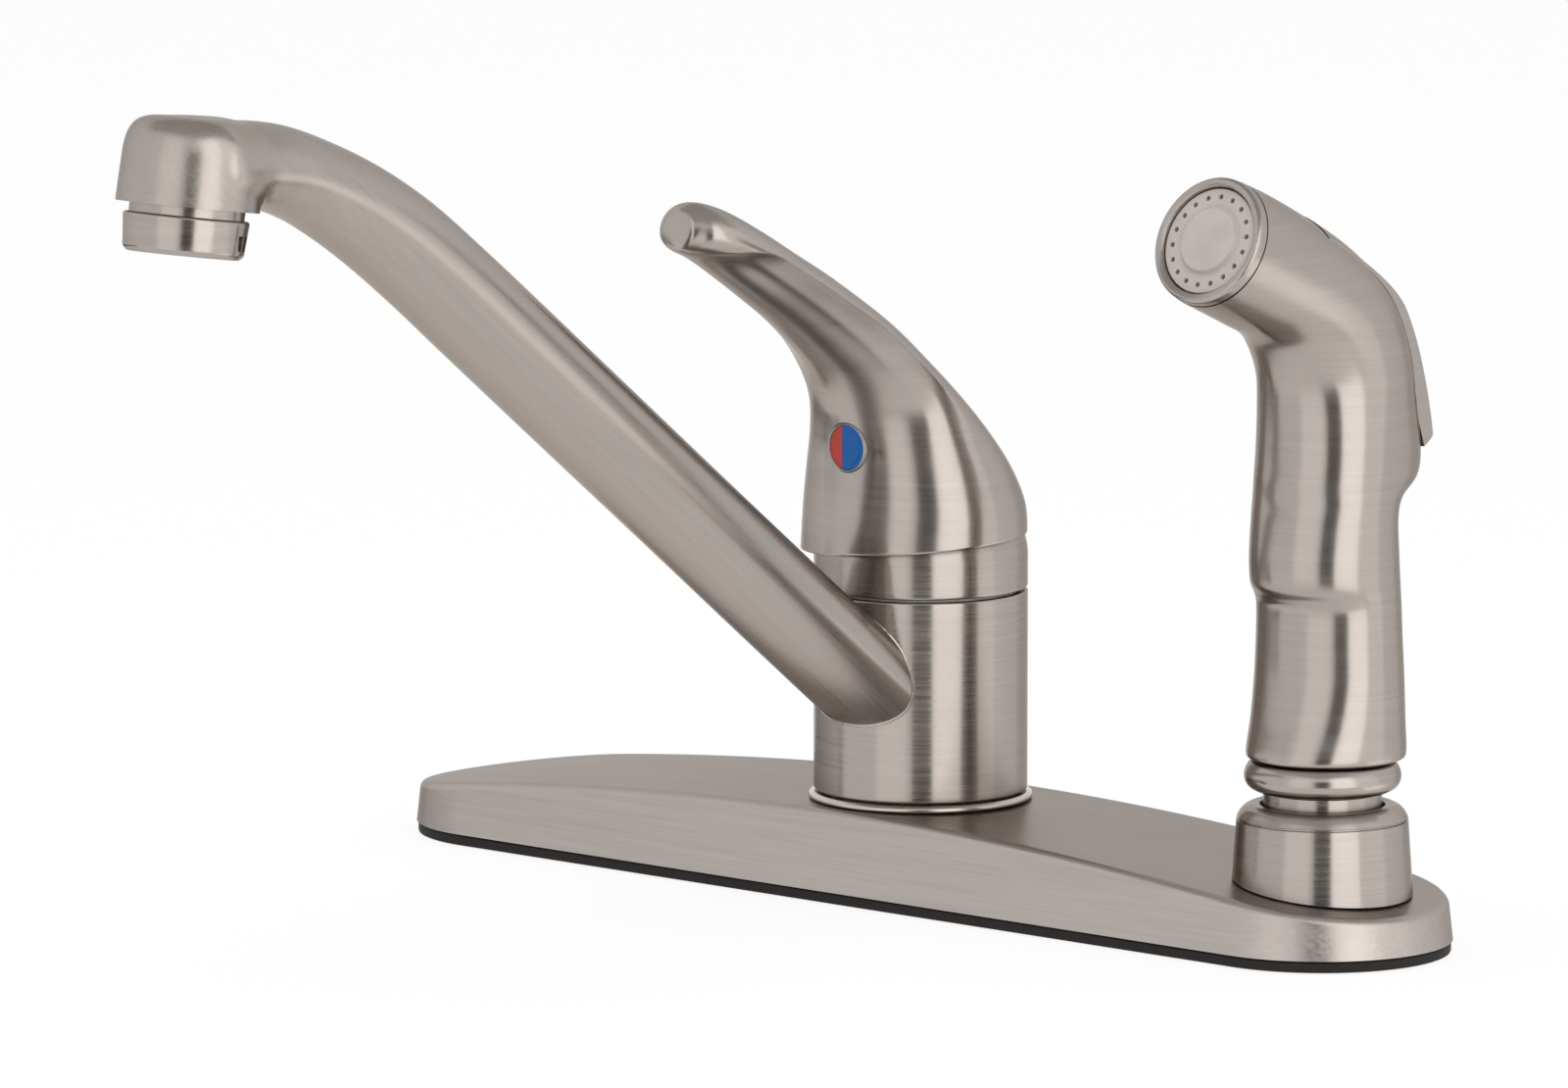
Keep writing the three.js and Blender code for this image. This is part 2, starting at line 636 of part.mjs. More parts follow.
const hubBody = turned([
  [19.5, HUB_BOTTOM],
  [HUB_RADIUS - 0.3, HUB_BOTTOM],
  [HUB_RADIUS, HUB_BOTTOM + 0.3],
  [HUB_RADIUS, HUB_TOP - 0.3],
  [HUB_RADIUS - 0.3, HUB_TOP],
  [19.5, HUB_TOP],
  [19.5, HUB_TOP - 1.7],
  [HUB_BORE, HUB_TOP - 1.7],
  [HUB_BORE, HUB_BOTTOM + 1.9],
  [19.5, HUB_BOTTOM + 1.9],
], 36);
const waterWay = rod(
  new THREE.Vector3(0, -14, 41),
  new THREE.Vector3(0, -14 - 30 * Math.cos(ARM_ANGLE), 41 + 30 * Math.sin(ARM_ANGLE)),
  5.5,
  16,
);
const spoutTube = cut(
  join(spoutArm(0, SPOUT_RINGS, 26), atOutlet(outletBoss)),
  spoutArm(SPOUT_WALL, 9, 10),
  atOutlet(post(0, 0, -1, 13, OUTLET_BORE, 24)),
  post(0, 0, 0, 90, HUB_RADIUS + GAP, 36),
);

const spout = new THREE.Group();
group.add(spout);
place("spout_hub", cut(hubBody, waterWay), NICKEL, spout);
place("spout_arm", spoutTube, NICKEL, spout);

const aeratorHousing = turned([
  [9, -8.9],
  [AERATOR_RADIUS - 1.3, -8.9],
  [AERATOR_RADIUS - 0.5, -8.1],
  [AERATOR_RADIUS, -2.1],
  [AERATOR_RADIUS - 0.4, -1.7],
  [OUTLET_BORE - 0.4, -1.7],
  [OUTLET_BORE - 0.4, 6],
  [9, 6],
], 28);
const STREAM_HOLES = 6;
const streamHoles = Array.from({ length: STREAM_HOLES }, (unused, i) => {
  const angle = (2 * Math.PI * i) / STREAM_HOLES;
  return post(5.4 * Math.cos(angle), 5.4 * Math.sin(angle), -9, 4, 1.4, 6);
});
const aeratorInsert = cut(
  turned([[0, -7.8], [8.7, -7.8], [8.7, -1.5], [7.4, -1.5], [7.4, -5.3], [0, -5.3]], 20),
  ...streamHoles,
  post(0, 0, -9, 4, 1.6, 6),
);
place("aerator_housing", atOutlet(aeratorHousing), BRIGHT_METAL, spout);
place("aerator_insert", atOutlet(aeratorInsert), GREY_PLASTIC, spout);
place("aerator_washer", atOutlet(ring(7.6, 10.5, 6.3, 8.3, 20)), RUBBER, spout);

// ---------------------------------------------------------------- side spray holder

const side = new THREE.Group();
side.position.x = HOLE_SPACING;
group.add(side);

/** The socket on the deck plate, with a threaded shank below; its foot follows the plate. */
function sprayHolder() {
  const ledge = 20.1;
  const foot = turned([
    [HOLDER_BORE + 1, 5],
    [17.8, 5],
    [HOLDER_RADIUS + 0.1, 25.9],
    [HOLDER_RADIUS - 0.4, 26.8],
    [HOLDER_RADIUS - 1.2, 27.7],
    [HOLDER_RADIUS - 2.4, HOLDER_TOP],
    [SOCKET_BORE, HOLDER_TOP],
    [SOCKET_BORE, ledge],
    [HOLDER_BORE + 1, ledge],
  ], 32);
  const slope = Math.atan(HOLE_SPACING / PLATE_CROWN_RADIUS);
  const underFoot = solid(new THREE.BoxGeometry(60, 60, 40).translate(0, 0, -20).rotateY(slope)
    .translate(0, 0, crown(HOLE_SPACING) + GAP));
  return join(cut(foot, underFoot), ring(HOLDER_BORE, HOLDER_SHANK_RADIUS, -38, ledge - GAP, 28));
}
place("spray_holder", sprayHolder(), NICKEL, side);

// ---------------------------------------------------------------- side spray

// Sections of the spray's body from its foot to its head, as for the handle: front point, widest
// point and back point in (y, z), then the half width.
const SPRAY_SECTIONS = [
  [-13.4, 37, 1.2, 37, 14.9, 37, 14.2],
  [-14.6, 38.2, 1.3, 38.2, 16.1, 38.2, 15.1],
  [-12.6, 44.5, 1.1, 44.5, 15.9, 44.5, 15],
  [-11.1, 52.4, 1, 52.4, 15.6, 52.4, 14.8],
  [-10.8, 60, 1, 60, 15.1, 60, 14.5],
  [-10.8, 66, 0.9, 66, 14.7, 66, 14.4],
  [-11.8, 68.4, 0.7, 68.4, 14.5, 68.4, 14.4],
  [-13.6, 71, 0.3, 71, 14.4, 71, 14.4],
  [-13.9, 76, 0, 76, 14, 76, 14.4],
  [-13.2, 83, 0, 83, 13.6, 83, 14.3],
  [-12.6, 87, 0.2, 87, 15.4, 87, 14.3],
  [-12.5, 90.5, 0.8, 90.5, 21.3, 90.5, 14.3],
  [-12, 96, 1.3, 96, 22.3, 96, 14.3],
  [-11.9, 103.6, 1.9, 103.8, 20.2, 104.5, 14.3],
  [-12.8, 110.2, 2.2, 112, 17.4, 115.5, 14.3],
  [-16.3, 116, -1.5, 121, 11.4, 126.3, 14.1],
  [-19.9, 118.9, -8.5, 126.8, 1, 135.2, 13.5],
  [-25.7, 121.4, -17.5, 131.5, -11, 142, 12.9],
  [-32.4, 124.3, -26.2, 135.4, -20.8, 146.7, 12.6],
  [-36.4, 126, -31, 137.4, -26, 148.8, 12.4],
  [-39, 127.1, -33.8, 138.5, -28.7, 149.9, 12.35],
];
const SPRAY_RINGS = 29;
const SPRAY_SIDES = 24;

/** A point at a distance ahead of the spray's face centre and up across it. */
function facePoint(ahead, across = 0) {
  const cos = Math.cos(SPRAY_FACE_TILT);
  const sin = Math.sin(SPRAY_FACE_TILT);
  const offset = new THREE.Vector3(0, -cos * ahead + sin * across, sin * ahead + cos * across);
  return SPRAY_FACE_CENTRE.clone().add(offset);
}

/** Turns a solid made about +Z, with its face at height 0, to look out of the spray's head. */
function atFace(shape) {
  const geometry = geometryOf(shape).rotateX(Math.PI / 2 - SPRAY_FACE_TILT);
  geometry.translate(...SPRAY_FACE_CENTRE.toArray());
  return solid(geometry);
}

// Side profile of the trigger in (y, z), outer curve downwards, then inner curve upwards.
const TRIGGER_OUTER = [[-9.8, 144], [0, 138], [6, 132], [12, 124.6], [16, 116.2], [19.1, 106.8],
  [21.3, 98.2], [21, 96.6], [18.7, 95.4]];
const TRIGGER_INNER = [[16.9, 100.5], [15.4, 108], [12.4, 115.4], [7.6, 122.4], [1.6, 128.2], [-7, 133.4]];
const TRIGGER_LUG = [[-11.6, 134.5], [-10.6, 129.2], [-8.2, 128.4], [-5.8, 129.4], [-4, 134.5]];
const TRIGGER_TRAVEL = 2.4;

/** The spray's outer form, as far as its rows of sections say; swell(row) can raise the back. */
function sprayForm(rings, sides, swell = () => ({ rise: 0, backPower: 2 })) {
  return loft(smoothRows(SPRAY_SECTIONS, rings).map(([fy, fz, my, mz, by, bz, width]) => {
    const { rise, backPower } = swell(bz);
    const away = new THREE.Vector2(by - my, bz - mz).setLength(rise);
    const back = [by + away.x, bz + away.y];
    return section({ front: [fy, fz], mid: [my, mz], back, width, backPower }, sides);
  }));
}

/** A hole or pin across the spray at the trigger's pivot. */
function triggerAxle(radius, halfLength) {
  const { y, z } = TRIGGER_PIN;
  return rod(new THREE.Vector3(-halfLength, y, z), new THREE.Vector3(halfLength, y, z), radius, 12);
}

/** The trigger, a blade on the back of the spray that is round at its top and flatter at its end. */
function trigger() {
  const blade = sideProfile([...TRIGGER_OUTER, ...TRIGGER_INNER], TRIGGER_HALF_WIDTH);
  const lug = sideProfile(TRIGGER_LUG, TRIGGER_LUG_HALF_WIDTH);
  const envelope = sprayForm(SPRAY_RINGS, SPRAY_SIDES, (height) => {
    const low = THREE.MathUtils.clamp((133 - height) / 33, 0, 1);
    return { rise: 0.2 + 1.4 * low, backPower: 2 + 3 * low };
  });
  return cut(join(blade, lug).intersect(envelope), triggerAxle(TRIGGER_PIN.radius + 0.25, 6));
}

/** The hollow that the trigger lies and moves in, with a slot for its lug. */
function triggerRecess() {
  const inner = TRIGGER_INNER.map(([y, z], index) => {
    const depth = 0.5 + TRIGGER_TRAVEL * (1 - index / (TRIGGER_INNER.length - 1));
    return [y - depth, z - 0.45 * depth];
  });
  const outer = [[-10.2, 145], [8, 142], [30, 120], [30, 93.8], [16.8, 93.8], [14.2, 97]];
  const slot = [[-12.8, 137], [-12, 128.4], [-6.4, 127], [-1, 130], [0, 135], [-8, 140]];
  return join(
    sideProfile([...outer, ...inner, [-10.2, 134.6]], TRIGGER_HALF_WIDTH + 0.35),
    sideProfile(slot, TRIGGER_LUG_HALF_WIDTH + 0.35),
  );
}

/** The spray's body: its form, less the hose bore, the head's chamber and the trigger's recess. */
function sprayBody() {
  const faceCut = atFace(turned([[0, -2.6], [30, -2.6], [30, 30], [0, 30]], 8));
  const hoseBore = post(0, 0, 30, 86, SPRAY_BORE, 20);
  const waterBore = post(0, 0, 80, 116, 5, 14);
  const headBore = rod(facePoint(4), facePoint(-16), SPRAY_FACE_RADIUS - 2, 24);
  const headWay = rod(facePoint(-14), new THREE.Vector3(0, -1, 112), 4.5, 14);
  const plungerBore = alongY(2, 30, PLUNGER_HEIGHT, 3.6, 14);
  const waterWays = [hoseBore, waterBore, headBore, headWay, plungerBore];
  const axleHole = triggerAxle(TRIGGER_PIN.radius + 0.25, TRIGGER_PIN.halfLength + 0.3);
  return cut(sprayForm(SPRAY_RINGS, SPRAY_SIDES), faceCut, ...waterWays, triggerRecess(), axleHole);
}

const spray = new THREE.Group();
side.add(spray);
place("spray_body", sprayBody(), NICKEL, spray);

const bead = turned([
  [SPRAY_BORE, 30.9],
  [12.6, 30.9],
  [14.3, 31.8],
  [15, 33.4],
  [14.8, 35],
  [13.8, 36.6],
  [SPRAY_BORE, 36.6],
], 28);
const coupling = turned([
  [5.5, 20.4],
  [11, 20.4],
  [11.3, 20.8],
  [11.3, 30.6],
  [SPRAY_BORE - 0.4, 30.6],
  [SPRAY_BORE - 0.4, 46],
  [5.5, 46],
], 24);
place("spray_bead", bead, BRIGHT_METAL, spray);
place("hose_coupling", coupling, NICKEL, spray);

const faceRing = turned([
  [SPRAY_FACE_RADIUS - 1.9, -2.3],
  [SPRAY_FACE_RADIUS + 0.1, -2.3],
  [SPRAY_FACE_RADIUS, -0.5],
  [SPRAY_FACE_RADIUS - 0.5, 0],
  [SPRAY_FACE_RADIUS - 1.7, -0.3],
  [SPRAY_FACE_RADIUS - 1.9, -0.8],
], 30);
const sprayHoles = Array.from({ length: SPRAY_HOLES }, (unused, i) => {
  const angle = (2 * Math.PI * i) / SPRAY_HOLES;
  return post(8.6 * Math.cos(angle), 8.6 * Math.sin(angle), -5, 2, 0.45, 4);
});
const faceDisc = cut(
  turned([
    [0, -3],
    [SPRAY_FACE_RADIUS - 2.3, -3],
    [SPRAY_FACE_RADIUS - 2.3, -1.1],
    [6.4, -0.9],
    [6, -0.4],
    [0, -0.3],
  ], 28),
  ...sprayHoles,
);
place("spray_face_ring", atFace(faceRing), BRIGHT_METAL, spray);
place("spray_face", atFace(faceDisc), GREY_PLASTIC, spray);

place("spray_trigger", trigger(), NICKEL, spray);
place("trigger_pin", triggerAxle(TRIGGER_PIN.radius, TRIGGER_PIN.halfLength), STEEL, spray);

/** A coil spring about Y between two depths, as one round wire. */
function coilSpring(from, to, radius, wire, turns) {
  const stepsPerTurn = 7;
  const points = Array.from({ length: turns * stepsPerTurn + 1 }, (unused, i) => {
    const angle = (2 * Math.PI * i) / stepsPerTurn;
    const y = from + ((to - from) * i) / (turns * stepsPerTurn);
    return new THREE.Vector3(radius * Math.cos(angle), y, PLUNGER_HEIGHT + radius * Math.sin(angle));
  });
  const corners = [[1, 0], [0, 1], [-1, 0], [0, -1]];
  const wireShape = new THREE.Shape(corners.map(([x, y]) => new THREE.Vector2(wire * x, wire * y)));
  const extrudePath = new THREE.CatmullRomCurve3(points);
  return solid(new THREE.ExtrudeGeometry(wireShape, {
    steps: turns * stepsPerTurn, extrudePath, bevelEnabled: false,
  }));
}

const plunger = turned([[0, 0], [3, 0], [3, 1.6], [1.3, 1.6], [1.3, 13.4], [0, 13.4]], 14);
const plungerInPlace = solid(geometryOf(plunger).rotateX(-Math.PI / 2).translate(0, 2.6, PLUNGER_HEIGHT));
place("spray_plunger", plungerInPlace, WHITE_PLASTIC, spray);
place("plunger_spring", coilSpring(5.6, 11.2, 2.4, 0.35, 4), STEEL, spray);

// ---------------------------------------------------------------- fastening below the deck

const clampTop = -DECK_ALLOWANCE;
const nutTop = clampTop - WASHER_THICKNESS - GAP;

const under = new THREE.Group();
group.add(under);
place("shank_washer", ring(SHANK_RADIUS + 0.4, 24, clampTop - WASHER_THICKNESS, clampTop, 24), STEEL, under);
place("shank_nut", hexRing(SHANK_RADIUS + 0.4, 38, nutTop - NUT_HEIGHT, nutTop), BRASS, under);

const sideUnder = new THREE.Group();
side.add(sideUnder);
place("holder_washer", ring(HOLDER_SHANK_RADIUS + 0.4, 18, clampTop - WASHER_THICKNESS, clampTop, 20), RUBBER,
  sideUnder);
const holderNut = join(
  ring(HOLDER_SHANK_RADIUS + 0.4, 15, nutTop - NUT_HEIGHT, nutTop, 28),
  cut(
    join(
      block([-19, -2, nutTop - NUT_HEIGHT], [19, 2, nutTop]),
      block([-2, -19, nutTop - NUT_HEIGHT], [2, 19, nutTop]),
    ),
    post(0, 0, nutTop - NUT_HEIGHT - 1, nutTop + 1, HOLDER_SHANK_RADIUS + 0.5, 28),
  ),
);
place("holder_nut", holderNut, BLACK_PLASTIC, sideUnder);

const studSide = new THREE.Group();
studSide.position.x = -HOLE_SPACING;
group.add(studSide);
place("mounting_stud", post(0, 0, -40, 8.6, STUD_RADIUS, 16), STEEL, studSide);
place("stud_washer", ring(STUD_RADIUS + 0.4, 12, clampTop - WASHER_THICKNESS, clampTop, 16), STEEL, studSide);
const wingNut = join(
  cut(turned([[0, nutTop - 10], [5.5, nutTop - 10], [7.5, nutTop], [0, nutTop]], 20),
    post(0, 0, nutTop - 11, nutTop + 1, STUD_RADIUS + 0.4, 16)),
  cut(block([-15, -1.5, nutTop - 12], [15, 1.5, nutTop - 1]), post(0, 0, nutTop - 13, nutTop + 1, 4.5, 16)),
);
place("wing_nut", wingNut, BLACK_PLASTIC, studSide);

export default group;
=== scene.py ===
"""Looks of a single-lever kitchen faucet with a side spray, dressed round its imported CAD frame.

Lengths in the shape tables are in millimetres, and pieces are scaled to metres when they are made.
+Z is up, the spout and the lever point to -Y, and the side spray stands at +X.
"""

import logging
import math
from dataclasses import dataclass
from enum import Enum
from typing import Optional, Sequence

import bmesh
import bpy
import numpy as np
from bmesh.types import BMesh
from mathutils import Matrix, Vector


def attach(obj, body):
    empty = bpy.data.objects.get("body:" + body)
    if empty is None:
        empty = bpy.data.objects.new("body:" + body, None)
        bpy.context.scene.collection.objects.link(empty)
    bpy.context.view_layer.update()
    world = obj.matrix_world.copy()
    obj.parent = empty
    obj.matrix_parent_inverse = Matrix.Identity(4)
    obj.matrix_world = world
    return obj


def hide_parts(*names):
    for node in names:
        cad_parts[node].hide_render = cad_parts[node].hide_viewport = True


LOG = logging.getLogger("side_spray_faucet")
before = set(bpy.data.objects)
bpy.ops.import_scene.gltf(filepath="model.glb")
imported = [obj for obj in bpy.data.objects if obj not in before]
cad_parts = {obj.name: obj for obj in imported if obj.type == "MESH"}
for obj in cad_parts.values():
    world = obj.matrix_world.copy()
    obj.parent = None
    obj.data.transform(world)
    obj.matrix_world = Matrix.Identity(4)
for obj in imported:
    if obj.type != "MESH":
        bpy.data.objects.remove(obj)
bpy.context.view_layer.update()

MM = 0.001
CREASE = math.radians(32)
HOLE_SPACING = 101.6
PIVOT_HEIGHT = 62.0
AT_SPRAY = Matrix.Translation((HOLE_SPACING, 0, 0))
AT_STUD = Matrix.Translation((-HOLE_SPACING, 0, 0))
Point = Sequence[float]
Outline = Sequence[Point]
Color = tuple[float, float, float]
Socket = bpy.types.NodeSocket


# ---------------- mesh tools


class Cut(Enum):
    """How one solid changes another."""

    AWAY = "DIFFERENCE"
    COMMON = "INTERSECT"
    JOINED = "UNION"


def smooth_step(value: np.ndarray, start: float, length: float) -> np.ndarray:
    """Rises smoothly from 0 to 1.

    Args:
        value: What it follows.
        start: The value at which it leaves 0.
        length: How far beyond that it reaches 1.

    Returns:
        The step at each value.
    """
    held = np.clip((value - start) / length, 0, 1)
    return held * held * (3 - 2 * held)


def rows_at(rows: Outline, places: np.ndarray) -> np.ndarray:
    """Reads a table of rows at places between them, along a smooth curve through the rows.

    Args:
        rows: The table, one row of numbers per step.
        places: Where to read it, counted in rows.

    Returns:
        One row of numbers for each place.
    """
    table = np.asarray(rows, float)
    ends = (2 * table[0] - table[1], 2 * table[-1] - table[-2])
    padded = np.vstack([ends[0], table, ends[1]])
    held = np.clip(np.asarray(places, float), 0, len(table) - 1)
    index = np.minimum(held.astype(int), len(table) - 2)
    t = (held - index)[..., None]
    before, start, end, after = (padded[index + k] for k in range(4))
    return 0.5 * (
        2 * start
        + (end - before) * t
        + (2 * before - 5 * start + 4 * end - after) * t**2
        + (3 * start - before - 3 * end + after) * t**3
    )


def section(
    front: np.ndarray,
    mid: np.ndarray,
    back: np.ndarray,
    width: np.ndarray,
    angle: np.ndarray,
    front_power: np.ndarray | float = 2.0,
    back_power: np.ndarray | float = 2.0,
) -> np.ndarray:
    """Points of a closed section that is mirror-symmetric in X.

    Args:
        front: Its front or underside point in (y, z).
        mid: Where it is widest, in (y, z).
        back: Its back or top point in (y, z).
        width: Its half width.
        angle: Round the section, 0 at +X and a quarter turn at the back point.
        front_power: The superellipse power of the front half.
        back_power: The same for the back half.

    Returns:
        The points, with a last axis of x, y, z.
    """
    cos, sin = np.cos(angle), np.sin(angle)
    is_back = sin >= 0
    power = 2 / np.where(is_back, back_power, front_power)
    across = np.sign(cos) * np.abs(cos) ** power
    reach = np.abs(sin) ** power
    end = np.where(is_back[..., None], back, front)
    flat = mid + (end - mid) * reach[..., None]
    return np.concatenate([(width * across)[..., None], flat], axis=-1)


def skin(grid: np.ndarray, endless: bool = False, caps: bool = True) -> BMesh:
    """Skins a grid of rings as one closed surface.

    Args:
        grid: Points as rings by sides by x, y, z.
        endless: Whether the last ring joins the first.
        caps: Whether the first and last rings are closed.

    Returns:
        The surface, with its faces turned outwards.
    """
    rings, sides, _ = grid.shape
    shape = bmesh.new()
    verts = [[shape.verts.new(point) for point in ring] for ring in grid]
    for i in range(rings if endless else rings - 1):
        low, high = verts[i], verts[(i + 1) % rings]
        for j in range(sides):
            k = (j + 1) % sides
            shape.faces.new((low[j], low[k], high[k], high[j]))
    if caps and not endless:
        shape.faces.new(list(reversed(verts[0])))
        shape.faces.new(verts[-1])
    bmesh.ops.remove_doubles(shape, verts=shape.verts[:], dist=1e-4)
    bmesh.ops.recalc_face_normals(shape, faces=shape.faces[:])
    return shape


def rounded(outline: Outline, steps: int = 4) -> list[tuple[float, float]]:
    """Rounds the corners of a closed outline.

    Args:
        outline: Corners as (a, b) or (a, b, rounding).
        steps: Edges in each rounding.

    Returns:
        The outline's points as (a, b).
    """
    corners = [Vector(c[:2]) for c in outline]
    radii = [c[2] if len(c) > 2 else 0.0 for c in outline]
    points: list[tuple[float, float]] = []
    for i, (corner, radius) in enumerate(zip(corners, radii)):
        if radius <= 0:
            points.append(tuple(corner))
            continue
        before, after = corners[i - 1], corners[(i + 1) % len(corners)]
        reach = min(radius, 0.49 * (before - corner).length, 0.49 * (after - corner).length)
        start = corner + (before - corner).normalized() * reach
        end = corner + (after - corner).normalized() * reach
        for step in range(steps + 1):
            t = step / steps
            points.append(tuple(start * (1 - t) ** 2 + corner * 2 * t * (1 - t) + end * t**2))
    return points


def turned(outline: Outline, segments: int = 96) -> BMesh:
    """Turns a closed outline about Z.

    Args:
        outline: Corners as (radius, height) or (radius, height, rounding).
        segments: Flat faces in one turn.

    Returns:
        The solid.
    """
    points = np.array(rounded(outline))
    angles = np.linspace(0, 2 * math.pi, segments, endpoint=False)
    radius = points[:, 0][:, None]
    height = np.repeat(points[:, 1][:, None], segments, axis=1)
    grid = np.stack([radius * np.cos(angles), radius * np.sin(angles), height], axis=-1)
    return skin(grid, endless=True)


def prism(outline: Outline, half_width: float) -> BMesh:
    """Pulls a closed side profile in (y, z) out to both sides along X."""
    flat = np.array(outline, float)
    return skin(np.stack([np.insert(flat, 0, x, axis=1) for x in (-half_width, half_width)]))


def rod(start: Point, end: Point, radius: float, sides: int = 48) -> BMesh:
    """Makes a plain cylinder.

    Args:
        start: The middle of its first end.
        end: The middle of its other end.
        radius: Its radius.
        sides: Flat faces round it.

    Returns:
        The cylinder.
    """
    axis = Vector(end) - Vector(start)
    shape = turned([(0, 0), (radius, 0), (radius, axis.length), (0, axis.length)], sides)
    turn = Vector((0, 0, 1)).rotation_difference(axis).to_matrix().to_4x4()
    return moved(shape, Matrix.Translation(Vector(start)) @ turn)


def block(low: Point, high: Point) -> BMesh:
    """Makes a box.

    Args:
        low: Its corner with the lowest coordinates.
        high: The opposite corner.

    Returns:
        The box.
    """
    shape = bmesh.new()
    size = Matrix.Diagonal([*(h - l for l, h in zip(low, high)), 1])
    centre = Matrix.Translation([(l + h) / 2 for l, h in zip(low, high)])
    bmesh.ops.create_cube(shape, size=1, matrix=centre @ size)
    return shape


def moved(shape: BMesh, matrix: Matrix) -> BMesh:
    """Moves a shape, and gives it back."""
    shape.transform(matrix)
    return shape


def as_object(name: str, shape: BMesh) -> bpy.types.Object:
    """Moves a shape into an object of the scene.

    Args:
        name: The object's name.
        shape: The shape; it is used up.

    Returns:
        The object.
    """
    mesh = bpy.data.meshes.new(name)
    shape.to_mesh(mesh)
    shape.free()
    made = bpy.data.objects.new(name, mesh)
    bpy.context.scene.collection.objects.link(made)
    return made


def evaluated(made: bpy.types.Object) -> BMesh:
    """Takes an object's shape with its modifiers.

    Args:
        made: The object; it is removed.

    Returns:
        The shape.
    """
    graph = bpy.context.evaluated_depsgraph_get()
    mesh = bpy.data.meshes.new_from_object(made.evaluated_get(graph))
    shape = bmesh.new()
    shape.from_mesh(mesh)
    bpy.data.meshes.remove(mesh)
    bpy.data.objects.remove(made)
    return shape


def combined(base: BMesh, tool: BMesh, how: Cut = Cut.AWAY) -> BMesh:
    """Cuts, joins or keeps what is common to two solids.

    Args:
        base: The solid that is changed.
        tool: The other solid.
        how: What is done.

    Returns:
        The new solid; both that went in are used up.
    """
    first, second = as_object("base", base), as_object("tool", tool)
    step = first.modifiers.new("cut", "BOOLEAN")
    step.operation = how.value
    step.solver = "EXACT"
    step.object = second
    shape = evaluated(first)
    bpy.data.objects.remove(second)
    return shape


def carved(base: BMesh, *tools: BMesh) -> BMesh:
    """Cuts every tool out of a solid.

    Args:
        base: The solid; it is used up.
        *tools: What is cut out of it; they are used up too.

    Returns:
        The new solid.
    """
    for tool in tools:
        base = combined(base, tool)
    return base


def thread(radius: float, pitch: float, low: float, high: float, depth: float) -> BMesh:
    """Winds a screw thread's ridge round a shank.

    Args:
        radius: The shank's radius.
        pitch: The height of one turn.
        low: Where it starts.
        high: Where it ends.
        depth: How far the ridge stands out.

    Returns:
        The ridge, which fades out at both ends.
    """
    per_turn = 40
    turn = np.arange(int((high - low) / pitch * per_turn) + 1) / per_turn
    angle = 2 * math.pi * turn
    fade = np.clip(np.minimum(turn, turn[-1] - turn) * 2, 0.02, 1)
    rings = []
    for out, up in [(-0.3, -0.42), (1.0, -0.06), (1.0, 0.06), (-0.3, 0.42)]:
        reach = radius + depth * out * (fade if out > 0 else 1)
        height = low + pitch * (turn + up)
        rings.append(np.stack([reach * np.cos(angle), reach * np.sin(angle), height], -1))
    return skin(np.stack(rings, axis=1))


def ring_wire(points: np.ndarray, outward: np.ndarray, radius: float, sides: int = 10) -> BMesh:
    """Runs a round wire along a closed line of points.

    Args:
        points: The line.
        outward: A direction at each point that is not along the line.
        radius: The wire's radius.
        sides: Sides of its section.

    Returns:
        The wire.
    """
    along = np.roll(points, -1, axis=0) - np.roll(points, 1, axis=0)
    along /= np.linalg.norm(along, axis=1)[:, None]
    across = np.cross(along, outward)
    across /= np.linalg.norm(across, axis=1)[:, None]
    up = np.cross(across, along)
    angle = np.linspace(0, 2 * math.pi, sides, endpoint=False)[None, :, None]
    grid = points[:, None] + radius * (np.cos(angle) * across[:, None] + np.sin(angle) * up[:, None])
    return skin(grid, endless=True)


# ---------------- finishes


class Brush(Enum):
    """Which way the fine brush marks of a satin surface run, as the scales of their noise."""

    AROUND = (45.0, 45.0, 2100.0)
    LENGTHWISE = (40.0, 1700.0, 1700.0)
    ARM = (1500.0, 45.0, 1500.0)


